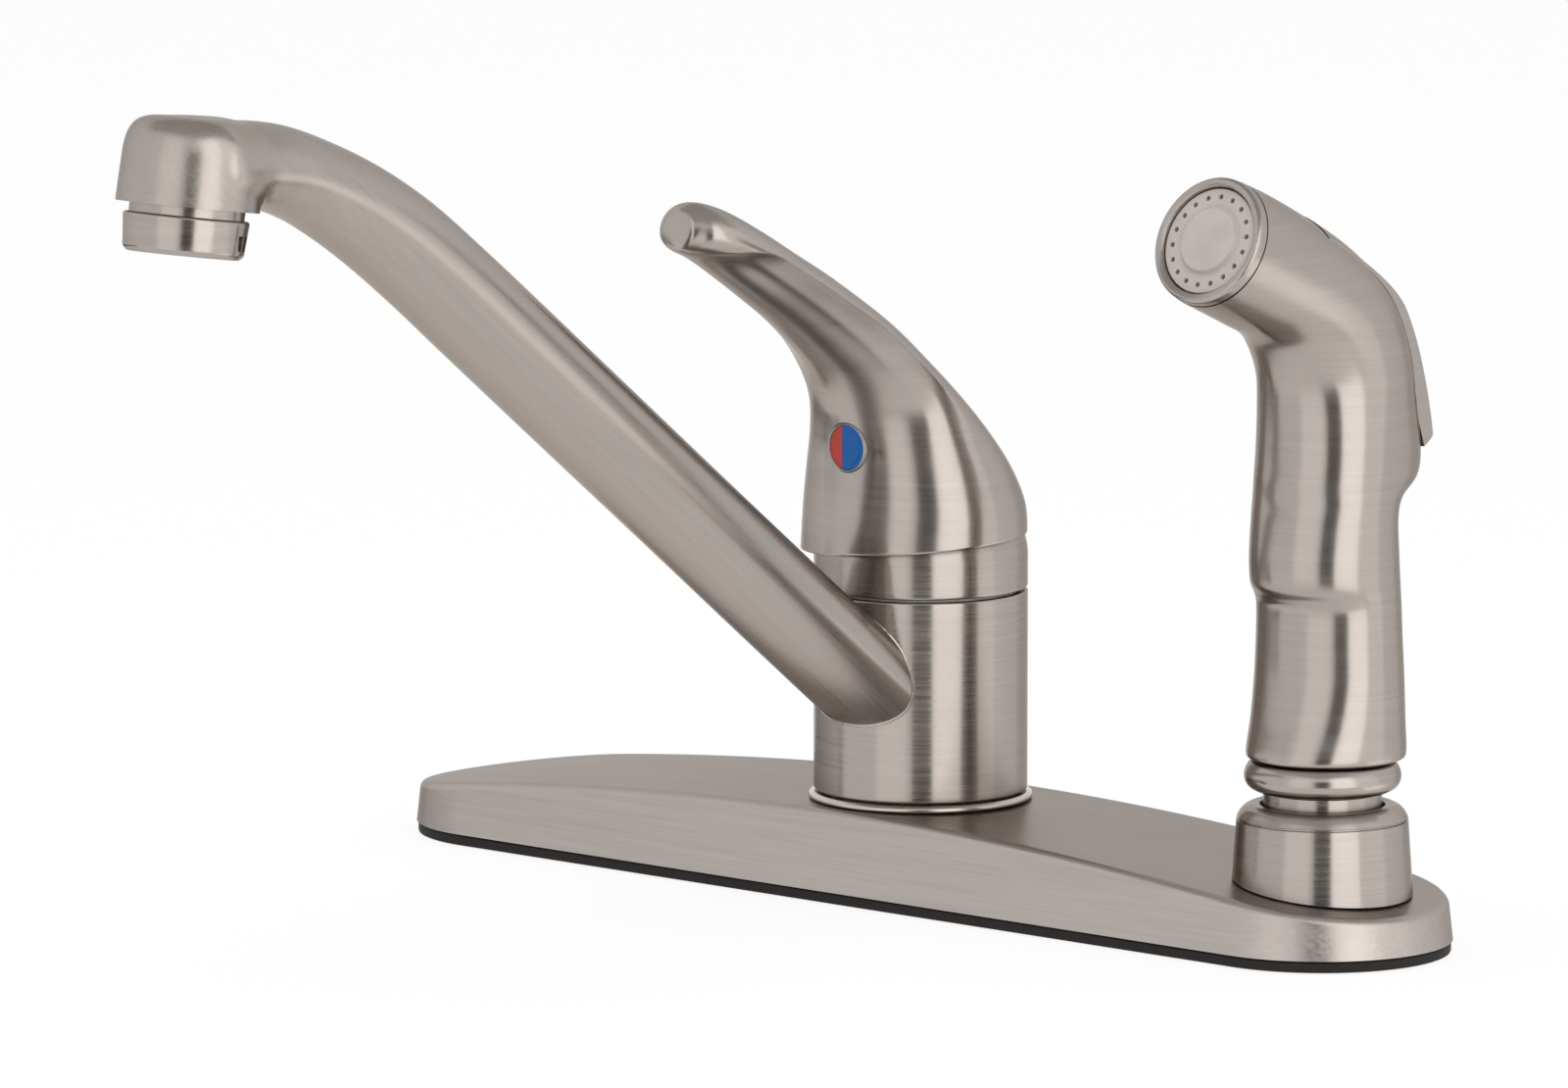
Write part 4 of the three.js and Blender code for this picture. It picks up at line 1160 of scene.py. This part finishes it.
@dataclass
class Spout:
    """The round-sided arm, its braze line at the hub and the aerator in its outlet."""

    finishes: Finishes
    reach: float = 201.0
    outlet_height: float = 151.7
    outlet_tilt: float = math.radians(8.5)
    outlet_bore: float = 11.0
    bore_depth: float = 13.0
    power: float = 2.1
    hub_radius: float = 20.85
    root_radius: float = 19.4
    bead_radius: float = 0.32
    voxel: float = 0.7
    boss_lean: float = 2.3
    fillet: float = 2.4
    evening_rounds: int = 36
    evening_share: float = 0.5
    swelling_share: float = -0.53
    notch_turns: tuple[int, ...] = (18, 31, 198, 211)

    def points(self, places: np.ndarray, angle: np.ndarray) -> np.ndarray:
        """Gives points of the arm's outside.

        Args:
            places: Where along the section table.
            angle: Where round the section.

        Returns:
            The points, in millimetres.
        """
        row = rows_at(SPOUT_SECTIONS, places)
        lean = np.radians(row[..., 2])
        rise = np.stack([np.sin(lean), np.cos(lean)], -1) * row[..., 4:5]
        mid = row[..., 0:2]
        return section(mid - rise, mid, mid + rise, row[..., 3], angle, self.power, self.power)

    def at_outlet(self, shape: BMesh) -> BMesh:
        """Moves a shape made about the outlet's own axis into the object's frame."""
        return moved(shape, self.outlet_frame())

    def outlet_frame(self) -> Matrix:
        """Gives the outlet's frame, with its lower face at height 0."""
        tilt = Matrix.Rotation(-self.outlet_tilt, 4, "X")
        return Matrix.Translation((0, -self.reach, self.outlet_height)) @ tilt

    def arm_distance(self, place: np.ndarray) -> np.ndarray:
        """Gives about how far points lie outside the arm.

        Args:
            place: The points.

        Returns:
            The distances, below 0 inside.
        """
        row = rows_at(SPOUT_SECTIONS, np.linspace(0, len(SPOUT_SECTIONS) - 1, 260))
        lean = np.radians(row[:, 2])
        ahead = np.stack([-np.cos(lean), np.sin(lean)], -1)
        offset = place[:, None, 1:] - row[None, :, :2]
        along = np.abs((offset * ahead).sum(-1)) + 0.05 * np.linalg.norm(offset, axis=-1)
        near = np.argmin(along, axis=1)
        picked = row[near]
        lean = np.radians(picked[:, 2])
        flat = place[:, 1:] - picked[:, :2]
        height = flat[:, 0] * np.sin(lean) + flat[:, 1] * np.cos(lean)
        across, up = np.abs(place[:, 0] / picked[:, 3]), np.abs(height / picked[:, 4])
        share = np.maximum(across**self.power + up**self.power, 1e-9) ** (1 / self.power)
        radial = np.hypot(place[:, 0], height) * (1 - 1 / share)
        beyond = flat[:, 1] * np.sin(lean) - flat[:, 0] * np.cos(lean)
        return np.maximum(radial, np.where(near == len(row) - 1, beyond, -99.0))

    def boss_distance(self, place: np.ndarray) -> tuple[np.ndarray, np.ndarray]:
        """Gives how far points lie outside the outlet's boss.

        Args:
            place: The points.

        Returns:
            The distances, below 0 inside, and the points' heights on the boss's axis.
        """
        turn = np.array(self.outlet_frame().inverted())
        local = place @ turn[:3, :3].T + turn[:3, 3]
        # The boss leans away from the arm's side, so that their blend hides its upper edge.
        lean = self.boss_lean * smooth_step(local[:, 2], 3, 10)
        lean *= smooth_step(local[:, 1], -5, 12)
        flat = np.column_stack([np.hypot(local[:, 0], local[:, 1]) + lean, local[:, 2]])
        corners = np.array(OUTLET_BOSS, float)
        best = np.full(len(flat), np.inf)
        inside = np.full(len(flat), -np.inf)
        for start, end in zip(corners[:-1], corners[1:]):
            edge = end - start
            t = np.clip(((flat - start) @ edge) / (edge @ edge), 0, 1)
            best = np.minimum(best, np.linalg.norm(flat - start - t[:, None] * edge, axis=1))
            out = np.array([edge[1], -edge[0]]) / np.linalg.norm(edge)
            inside = np.maximum(inside, (flat - start) @ out)
        return np.where(inside > 0, best, inside), local[:, 2]

    def joined_distance(self, place: np.ndarray) -> np.ndarray:
        """Gives the distance outside arm and boss, which blend with a fillet.

        Args:
            place: The points.

        Returns:
            The distances, below 0 inside.
        """
        arm = self.arm_distance(place)
        boss, height = self.boss_distance(place)
        # It is widest at half the boss's height and all but gone at the top.
        wider, gone = smooth_step(height, 3, 5), smooth_step(height, 11.5, 4)
        fillet = self.fillet + 2.8 * wider - 2.6 * gone
        share = np.maximum(fillet - np.abs(arm - boss), 0) / fillet
        return np.minimum(arm, boss) - share**2 * fillet / 4

    def moulded(self, shape: BMesh) -> BMesh:
        """Draws a rough shape of arm and boss onto their smooth joined form.

        Args:
            shape: The rough shape; it is changed.

        Returns:
            The same shape.
        """
        place = np.array([vert.co[:] for vert in shape.verts])
        for _ in range(4):
            value = self.joined_distance(place)
            slope = np.stack([
                (self.joined_distance(place + step) - self.joined_distance(place - step)) / 0.2
                for step in 0.1 * np.eye(3)
            ], axis=-1)
            size = np.maximum((slope**2).sum(-1), 0.3)
            place = place - (np.clip(value / size, -0.7, 0.7)[:, None] * slope)
        for vert, spot in zip(shape.verts, self.evened(shape, place)):
            vert.co = spot
        return shape

    def evened(self, shape: BMesh, place: np.ndarray) -> np.ndarray:
        """Rubs out the crease between arm and boss, as a buffing wheel does.

        Args:
            shape: The joined form, for its edges.
            place: Where its vertices are.

        Returns:
            The new places.
        """
        height = self.boss_distance(place)[1]
        edges = np.array([[vert.index for vert in edge.verts] for edge in shape.edges])
        ends = np.concatenate([edges, edges[:, ::-1]])
        count = np.bincount(ends[:, 0], minlength=len(place))[:, None]
        near = smooth_step(height, 4, 3) * (1 - smooth_step(place[:, 1], -168, 12))
        for index in range(2 * self.evening_rounds):
            sums = [np.bincount(ends[:, 0], column, len(place)) for column in place[ends[:, 1]].T]
            mean = np.stack(sums, axis=-1) / count
            # Every second step swells the form again, so that only the crease goes.
            share = self.swelling_share if index % 2 else self.evening_share
            place = place + share * near[:, None] * (mean - place)
        return place

    def arm(self) -> BMesh:
        """Makes the arm with its outlet.

        Returns:
            The arm, open at the hub and at the aerator.
        """
        last = len(SPOUT_SECTIONS) - 1
        angle = np.linspace(0, 2 * math.pi, 64, endpoint=False)
        rows = np.linspace(0, last, 120)
        tube = skin(self.points(rows[:, None], angle[None, :]))
        boss = self.at_outlet(turned(OUTLET_BOSS, 96))
        rough = as_object("arm_rough", combined(tube, boss, Cut.JOINED))
        step = rough.modifiers.new("even", "REMESH")
        step.mode = "VOXEL"
        step.voxel_size = self.voxel
        shape = self.moulded(evaluated(rough))
        below = self.at_outlet(rod((0, 0, -12), (0, 0, 0), 19, 96))
        bore = self.at_outlet(rod((0, 0, -9), (0, 0, self.bore_depth), self.outlet_bore, 64))
        return carved(shape, rod((0, 0, 0), (0, 0, 90), self.root_radius, 72), below, bore)

    def bead(self) -> BMesh:
        """Makes the thin bright line where the arm enters the hub.

        Returns:
            The line, as a wire.
        """
        angle = np.linspace(0, 2 * math.pi, 160, endpoint=False)
        trial = np.linspace(0, 1.6, 641)
        grid = self.points(trial[:, None], angle[None, :])
        outside = np.hypot(grid[..., 0], grid[..., 1]) > self.hub_radius
        first = np.argmax(outside, axis=0)
        line = grid[first, np.arange(len(angle))]
        outward = line * [1, 1, 0] / np.hypot(line[:, 0], line[:, 1])[:, None]
        return ring_wire(line, outward, self.bead_radius)

    def aerator_ring(self) -> BMesh:
        """Makes the aerator's ring, with shallow notches for a wrench.

        Returns:
            The ring.
        """
        shape = turned([
            (9, -8.9), (10.3, -8.9, 0.3), (11.1, -8.1, 0.4), (11.6, -2.1, 0.3), (11.2, -1.7, 0.2),
            (10.6, -1.7), (10.6, 6), (9, 6),
        ], 144)
        for turn in self.notch_turns:
            notch = block((10.9, -0.8, -7.2), (13, 0.8, -4.4))
            shape = combined(shape, moved(notch, Matrix.Rotation(math.radians(turn), 4, "Z")))
        return self.at_outlet(shape)

    def build(self) -> None:
        """Makes and dresses the pieces."""
        f = self.finishes
        piece("arm_tube", self.arm(), f.arm_nickel, "spout", ["spout_arm"])
        piece("braze_line", self.bead(), f.bright, "spout")
        ring = self.aerator_ring()
        piece("aerator_ring", ring, f.ring_nickel, "spout", ["aerator_housing"])
        dress("aerator_insert", f.grey)
        dress("aerator_washer", f.rubber)


# ---------------- side spray

SPRAY_SECTIONS = [
    # front point (y, z), widest point (y, z), back point (y, z), half width
    [-13.4, 37, 1.2, 37, 14.9, 37, 14.2],
    [-14.6, 38.2, 1.3, 38.2, 16.1, 38.2, 15.1],
    [-12.6, 44.5, 1.1, 44.5, 15.9, 44.5, 15],
    [-11.1, 52.4, 1, 52.4, 15.6, 52.4, 14.8],
    [-10.8, 60, 1, 60, 15.1, 60, 14.5],
    [-10.8, 66, 0.9, 66, 14.7, 66, 14.4],
    [-11.8, 68.4, 0.7, 68.4, 14.5, 68.4, 14.4],
    [-13.6, 71, 0.3, 71, 14.4, 71, 14.4],
    [-13.9, 76, 0, 76, 14, 76, 14.4],
    [-13.2, 83, 0, 83, 13.6, 83, 14.3],
    [-12.6, 87, 0.2, 87, 15.4, 87, 14.3],
    [-12.5, 90.5, 0.8, 90.5, 21.3, 90.5, 14.3],
    [-12, 96, 1.3, 96, 22.3, 96, 14.3],
    [-11.9, 103.6, 1.9, 103.8, 20.2, 104.5, 14.3],
    [-12.8, 110.2, 2.2, 112, 17.4, 115.5, 14.3],
    [-16.3, 116, -1.5, 121, 11.4, 126.3, 14.1],
    [-19.9, 118.9, -8.5, 126.8, 1, 135.2, 13.5],
    [-25.7, 121.4, -17.5, 131.5, -11, 142, 12.9],
    [-32.4, 124.3, -26.2, 135.4, -20.8, 146.7, 12.6],
    [-36.4, 126, -31, 137.4, -26, 148.8, 12.4],
    [-39, 127.1, -33.8, 138.5, -28.7, 149.9, 12.35],
]
TRIGGER_OUTER = [
    [-9.95, 144], [0, 137.6], [5.6, 131.8], [11.6, 124.4], [16, 116.4], [19.2, 107], [21.1, 98.6],
    [20.8, 96.9], [18.7, 95.4],
]
TRIGGER_INNER = [[16.9, 100.5], [15.4, 108], [12.4, 115.4], [7.6, 122.4], [1.6, 128.2], [-9.9, 134.9]]
TRIGGER_LUG = [[-11.6, 134.5], [-10.6, 129.2], [-8.2, 128.4], [-5.8, 129.4], [-4, 134.5]]


@dataclass
class SideSpray:
    """The hand spray: body, spray head, trigger, bead and hose coupling."""

    finishes: Finishes
    rings: int = 150
    sides: int = 96
    face_tilt: float = math.radians(23)
    face_centre: tuple[float, float, float] = (0, -34.9, 139)
    face_radius: float = 12.3
    hose_bore: float = 9.3
    blade_half_width: float = 9.0
    lug_half_width: float = 3.0
    travel: float = 2.4
    axle: tuple[float, float] = (-8.2, 131.0)
    axle_radius: float = 1.1
    holes: int = 18
    hole_circle: float = 8.6
    hole_radius: float = 0.52
    recess_end: float = -10.1
    swell: float = 0.2
    low_swell: float = 1.8
    squareness: float = 2.4

    def on_side(self, shape: BMesh) -> BMesh:
        """Moves a shape made about the spray's own axis to the side hole."""
        return moved(shape, AT_SPRAY)

    def at_face(self, shape: BMesh) -> BMesh:
        """Turns a shape made about +Z to look out of the spray's head."""
        turn = Matrix.Rotation(math.pi / 2 - self.face_tilt, 4, "X")
        return moved(shape, Matrix.Translation(self.face_centre) @ turn)

    def ahead(self, distance: float) -> tuple[float, float, float]:
        """Gives a point on the face's axis."""
        x, y, z = self.face_centre
        return x, y - math.cos(self.face_tilt) * distance, z + math.sin(self.face_tilt) * distance

    def form(self, swollen: bool = False) -> BMesh:
        """Lofts the spray's outer form.

        Args:
            swollen: Whether its back is raised and squared, as the trigger's outside is.

        Returns:
            The form.
        """
        places = np.linspace(0, len(SPRAY_SECTIONS) - 1, self.rings)[:, None]
        angle = np.linspace(0, 2 * math.pi, self.sides, endpoint=False)[None, :]
        row = rows_at(SPRAY_SECTIONS, places)
        front, mid, back = row[..., 0:2], row[..., 2:4], row[..., 4:6]
        power = 2.0
        if swollen:
            low = np.clip((133 - back[..., 1]) / 33, 0, 1)
            away = back - mid
            away = away / np.linalg.norm(away, axis=-1, keepdims=True)
            back = back + away * (self.swell + self.low_swell * low)[..., None]
            power = 2 + self.squareness * low
        return skin(section(front, mid, back, row[..., 6], angle, 2.0, power))

    def curve(self, rows: Outline, steps: int) -> np.ndarray:
        """Draws a smooth line through a table of points."""
        return rows_at(rows, np.linspace(0, len(rows) - 1, steps))

    def pin(self, radius: float, half_length: float) -> BMesh:
        """Makes a rod across the spray at the trigger's pivot."""
        y, z = self.axle
        return rod((-half_length, y, z), (half_length, y, z), radius, 24)

    def recess(self) -> tuple[BMesh, BMesh]:
        """Makes what is cut out of the body for the trigger.

        Returns:
            The hollow that its blade moves in, and the slot for its lug.
        """
        inner = self.curve(TRIGGER_INNER, 30)
        depth = 0.5 + self.travel * (1 - np.linspace(0, 1, len(inner)))
        floor = inner - np.column_stack([depth, 0.45 * depth])
        floor[:, 0] = np.maximum(floor[:, 0], self.recess_end)
        outer = [[self.recess_end, 145], [8, 142], [30, 120], [30, 93.8], [16.8, 93.8], [14.2, 97]]
        hollow = prism([*outer, *floor.tolist()], self.blade_half_width + 0.3)
        slot = [[-12.8, 137], [-12, 128.4], [-6.4, 127], [-1, 130], [0, 135], [-8, 140]]
        return hollow, prism(slot, self.lug_half_width + 0.35)

    def body(self) -> BMesh:
        """Makes the spray's body with its bores and the trigger's recess.

        Returns:
            The body.
        """
        cut_off = self.at_face(rod((0, 0, -2.6), (0, 0, 40), 40, 8))
        bores = [
            rod((0, 0, 30), (0, 0, 86), self.hose_bore),
            rod((0, 0, 80), (0, 0, 116), 5),
            rod(self.ahead(4), self.ahead(-16), self.face_radius - 2),
            rod(self.ahead(-14), (0, -1, 112), 4.5),
            rod((0, 2, 102), (0, 30, 102), 3.6, 32),
            self.pin(self.axle_radius + 0.25, 6.8),
        ]
        return self.on_side(carved(self.form(), cut_off, *bores, *self.recess()))

    def trigger(self) -> BMesh:
        """Makes the trigger's blade and lug.

        Returns:
            The trigger.
        """
        line = np.vstack([self.curve(TRIGGER_OUTER, 56), self.curve(TRIGGER_INNER, 40)])
        blade = combined(
            prism(line, self.blade_half_width), prism(TRIGGER_LUG, self.lug_half_width), Cut.JOINED
        )
        blade = combined(blade, self.form(swollen=True), Cut.COMMON)
        return self.on_side(carved(blade, self.pin(self.axle_radius + 0.25, 6)))

    def face(self) -> BMesh:
        """Makes the spray plate with its ring of holes round a raised middle.

        Returns:
            The plate.
        """
        disc = turned([
            (0, -3), (10.2, -3), (10.2, -0.95, 0.12), (7.2, -0.85, 0.2), (6.7, -0.95, 0.1),
            (6.5, -0.95, 0.1), (6.1, -0.1, 0.3), (0, 0),
        ], 96)
        holes = []
        for index in range(self.holes):
            turn = 2 * math.pi * (index + 0.5) / self.holes
            x, y = self.hole_circle * math.cos(turn), self.hole_circle * math.sin(turn)
            holes.append(rod((x, y, -2.2), (x, y, 1), self.hole_radius, 16))
        return self.on_side(self.at_face(carved(disc, *holes)))

    def face_ring(self) -> BMesh:
        """Makes the bright ring round the spray plate.

        Returns:
            The ring.
        """
        shape = turned([
            (10.4, -2.3), (12.4, -2.3, 0.1), (12.3, -0.5, 0.4), (11.8, 0, 0.3), (10.6, -0.3, 0.2),
            (10.4, -0.8),
        ], 128)
        return self.on_side(self.at_face(shape))

    def bead(self) -> BMesh:
        """Makes the rounded bead that rests on the holder.

        Returns:
            The bead.
        """
        return self.on_side(turned([
            (self.hose_bore, 30.9), (12.6, 30.9, 0.6), (14.3, 31.8, 0.8), (15, 33.4, 0.9),
            (14.8, 35, 0.8), (13.8, 36.6, 0.5), (self.hose_bore, 36.6),
        ], 128))

    def coupling(self) -> BMesh:
        """Makes the hose coupling inside the holder.

        Returns:
            The coupling.
        """
        return self.on_side(turned([
            (5.5, 20.4), (11, 20.4, 0.3), (11.3, 20.8), (11.3, 30.6), (8.9, 30.6), (8.9, 46), (5.5, 46),
        ], 72))

    def build(self) -> None:
        """Makes and dresses the pieces."""
        f = self.finishes
        piece("spray_shell", self.body(), f.cast_nickel, "spray", ["spray_body"])
        piece("spray_lever", self.trigger(), f.cast_nickel, "trigger", ["spray_trigger"])
        piece("spray_plate", self.face(), f.grey, "spray", ["spray_face"])
        piece("head_ring", self.face_ring(), f.ring_nickel, "spray", ["spray_face_ring"])
        piece("foot_bead", self.bead(), f.ring_nickel, "spray", ["spray_bead"])
        piece("hose_end", self.coupling(), f.turned_nickel, "spray", ["hose_coupling"])
        dress("trigger_pin", f.steel)
        dress("spray_plunger", f.white)
        dress("plunger_spring", f.steel)


@dataclass
class SprayHolder:
    """The socket on the deck plate that the side spray stands in."""

    finishes: Finishes
    radius: float = 16.2
    top: float = 28.3
    bore: float = 9.2
    socket: float = 11.9
    ledge: float = 20.1
    shank_radius: float = 11.2
    shank_end: float = -38.0
    groove: float = 25.6
    foot_height: float = 12.72
    slope: float = 101.6 / 893.0

    def build(self) -> None:
        """Makes and dresses the holder, whose foot follows the crown of the plate."""
        radius, shank, groove = self.radius, self.shank_radius, self.groove
        shape = turned([
            (self.bore, self.shank_end), (shank, self.shank_end, 0.4), (shank, 6.5), (17.6, 6.5),
            (radius + 0.12, groove - 0.25), (radius - 0.2, groove - 0.1), (radius - 0.2, groove + 0.1),
            (radius + 0.05, groove + 0.25), (radius - 0.5, 26.9, 0.5), (radius - 1.2, 27.7, 0.4),
            (radius - 2.4, self.top, 0.4), (self.socket, self.top, 0.2), (self.socket, self.ledge),
            (self.bore, self.ledge - 0.3),
        ], 128)
        inner = shank + 0.01
        wedge = turned([(inner, 0), (40, 0), (40, -30), (inner, -30)], 96)
        for vert in wedge.verts:
            if vert.co.z > -1:
                vert.co.z = self.foot_height - self.slope * vert.co.x
        shape = moved(combined(shape, wedge), AT_SPRAY)
        piece("spray_socket", shape, self.finishes.turned_nickel, "base", ["spray_holder"])


# ---------------- below the deck


@dataclass
class UnderDeck:
    """Threads, washers and nuts that clamp the faucet to the sink."""

    finishes: Finishes

    def build(self) -> None:
        """Makes and dresses the pieces."""
        f = self.finishes
        holder = moved(thread(11.2, 1.8, -37, -3, 0.32), AT_SPRAY)
        stud = moved(thread(3.0, 1.0, -39.5, 1.5, 0.26), AT_STUD)
        piece("shank_thread", thread(14.5, 1.8, -41, -3, 0.34), f.brass, "base")
        piece("holder_thread", holder, f.turned_nickel, "base")
        piece("stud_thread", stud, f.steel, "base")
        softened("big_nut", "shank_nut", f.brass, "base", 0.5)
        softened("big_washer", "shank_washer", f.steel, "base", 0.25)
        softened("side_washer", "holder_washer", f.rubber, "base", 0.3)
        softened("side_nut", "holder_nut", f.black, "base", 0.4)
        softened("small_washer", "stud_washer", f.steel, "base", 0.2)
        softened("winged_nut", "wing_nut", f.black, "base", 0.4)
        dress("mounting_stud", f.steel)


# ---------------- studio


@dataclass(frozen=True)
class Card:
    """A sheet that only the metal's reflections see; its lengths are in metres."""

    name: str
    degrees: float
    distance: float
    size: tuple[float, float]
    tone: float
    height: float = 0.1
    flat: bool = False


# name, degrees from the camera's side to its right, distance, size, tone where 1 is white,
# height of the middle, whether it lies flat
CARDS = (
    Card("bright_right", 29.5, 1.5, (0.93, 2.4), 2.0),
    Card("soft_right", 64, 1.6, (1.2, 2.4), 1.25),
    Card("camera_side", 0.5, 1.45, (0.52, 2.0), 0.1, -0.4),
    Card("soft_back", 146, 1.5, (1.1, 0.7), 0.85, -0.1),
    Card("left_back", -126, 1.5, (1.7, 2.4), 0.4, -1.33),
    Card("thin_dark", -97, 1.4, (0.2, 2.4), 0.1, -1.36),
    Card("soft_left", -32, 1.5, (0.9, 2.4), 1.35),
    Card("ground", 0, 0, (3.2, 3.2), 1.05, -0.45, True),
    Card("ground_right", 83, 1.15, (0.8, 0.8), 1.6, -0.44, True),
    Card("overhead", 0, 0, (2.6, 2.6), 0.55, 1.45, True),
)


@dataclass
class Studio:
    """Camera, floor, lights and what the metal reflects, in metres; none is part of the object."""

    lens: float = 281.2
    towards_camera: tuple[float, float] = (0.6708, -0.7417)
    to_the_right: tuple[float, float] = (0.7417, 0.6708)
    floor_size: float = 24.0
    floor_height: float = -0.0002
    floor_glow: float = 0.87
    sky_light: float = 0.88
    lamp_aim: float = 0.08

    def camera(self) -> None:
        """Sets the camera where the photograph was taken from."""
        data = bpy.data.cameras.new("photo_camera")
        data.lens = self.lens
        data.sensor_width = 36.0
        data.sensor_fit = "HORIZONTAL"
        data.clip_end = 100.0
        holder = bpy.data.objects.new("photo_camera", data)
        holder.matrix_world = Matrix((
            (0.7417, -0.0978, 0.6636, 1.5605),
            (0.6707, 0.1081, -0.7337, -1.7652),
            (0.0, 0.9893, 0.1458, 0.4151),
            (0, 0, 0, 1),
        ))
        bpy.context.scene.collection.objects.link(holder)
        bpy.context.scene.camera = holder

    def direction(self, degrees: float) -> Vector:
        """Gives a level direction.

        Args:
            degrees: Its turn from the camera's side to the camera's right.

        Returns:
            The direction, of length 1.
        """
        turn = math.radians(degrees)
        return Vector([
            math.cos(turn) * b + math.sin(turn) * r
            for b, r in zip(self.towards_camera, self.to_the_right)
        ] + [0.0])

    def plane(self, name: str, width: float, height: float) -> bpy.types.Object:
        """Makes a sheet that is no part of the object.

        Args:
            name: Its name.
            width: Its size in X.
            height: Its size in Y.

        Returns:
            The sheet, about its own middle, with its face to +Z.
        """
        mesh = bpy.data.meshes.new(name)
        w, h = width / 2, height / 2
        mesh.from_pydata([(-w, -h, 0), (w, -h, 0), (w, h, 0), (-w, h, 0)], [], [(0, 1, 2, 3)])
        sheet = bpy.data.objects.new(name, mesh)
        bpy.context.scene.collection.objects.link(sheet)
        return sheet

    def card(self, card: Card) -> None:
        """Stands a card up, or lays it flat.

        Args:
            card: What it is like.
        """
        sheet = self.plane(card.name, *card.size)
        away = self.direction(card.degrees)
        sheet.location = away * card.distance + Vector((0, 0, card.height))
        if not card.flat:
            sheet.rotation_euler = (-away).to_track_quat("Z", "Y").to_euler()
        tone = card.tone
        sheet.data.materials.append(Graph(card.name).shaded({
            "Base Color": (0, 0, 0, 1),
            "Specular IOR Level": 0.0,
            "Emission Color": (tone, tone * 0.985, tone * 0.97, 1),
            "Emission Strength": 1.0,
        }))
        for ray in ("camera", "diffuse", "transmission", "shadow", "volume_scatter"):
            setattr(sheet, "visible_" + ray, False)

    def softbox(self, name: str, place: Vector, size: float, radiance: float) -> bpy.types.Object:
        """Hangs a square lamp that looks at the faucet.

        Args:
            name: Its name.
            place: Where it hangs.
            size: The length of its sides.
            radiance: How bright its face is.

        Returns:
            The lamp.
        """
        lamp = bpy.data.lights.new(name, "AREA")
        lamp.shape = "RECTANGLE"
        lamp.size = lamp.size_y = size
        lamp.energy = math.pi * size * size * radiance
        lamp.color = (1.0, 0.985, 0.965)
        holder = bpy.data.objects.new(name, lamp)
        holder.location = place
        aim = Vector((0, 0, self.lamp_aim)) - place
        holder.rotation_euler = aim.to_track_quat("-Z", "Y").to_euler()
        bpy.context.scene.collection.objects.link(holder)
        return holder

    def floor(self) -> None:
        """Lays the white floor, which keeps a faint shadow."""
        sheet = self.plane("floor", self.floor_size, self.floor_size)
        sheet.location.z = self.floor_height
        graph = Graph("floor")
        share = graph.calc("MULTIPLY", graph.backdrop_rays(), self.floor_glow)
        matt = graph.add("BsdfDiffuse", {"Color": (0.9, 0.9, 0.9, 1)}).outputs[0]
        glow = graph.add("Emission", {"Color": (1, 1, 1, 1), "Strength": 1.0}).outputs[0]
        mixed = graph.add("MixShader", {0: share, 1: matt, 2: glow}).outputs[0]
        graph.feed(graph.nodes["Material Output"], {"Surface": mixed})
        graph.nodes.remove(graph.shader)
        sheet.data.materials.append(graph.owner)
        sheet.visible_glossy = False
        sheet.visible_shadow = False

    def sky(self) -> None:
        """Makes the surroundings white for what is seen and softer for what they light."""
        graph = Graph("surroundings", world=True)
        limits = {"Value": graph.backdrop_rays(), "To Min": self.sky_light, "To Max": 1.0}
        level = graph.add("MapRange", limits).outputs["Result"]
        bpy.context.scene.world = graph.shaded({"Strength": level, "Color": (1, 1, 1, 1)})

    def build(self) -> None:
        """Sets up everything round the object."""
        bpy.context.scene.view_settings.view_transform = "Standard"
        self.camera()
        self.floor()
        self.sky()
        above, beside = Vector((0, 0, 1.5)), Vector((0, 0, 0.8))
        top = self.softbox("top_softbox", self.direction(-20) * 0.4 + above, 1.2, 1.6)
        top.visible_glossy = False
        self.softbox("right_softbox", self.direction(29) * 1.7 + beside, 0.9, 2.0)
        for card in CARDS:
            self.card(card)


# ---------------- the whole


def main() -> None:
    """Builds the faucet piece by piece, then what stands round it."""
    logging.basicConfig(level=logging.INFO, format="%(name)s: %(message)s")
    finishes = Finishes()
    for part in (
        DeckPlate(finishes),
        Body(finishes),
        Handle(finishes),
        Spout(finishes),
        SprayHolder(finishes),
        SideSpray(finishes),
        UnderDeck(finishes),
        Studio(),
    ):
        LOG.info("building %s", type(part).__name__)
        part.build()


if __name__ == "__main__":
    main()
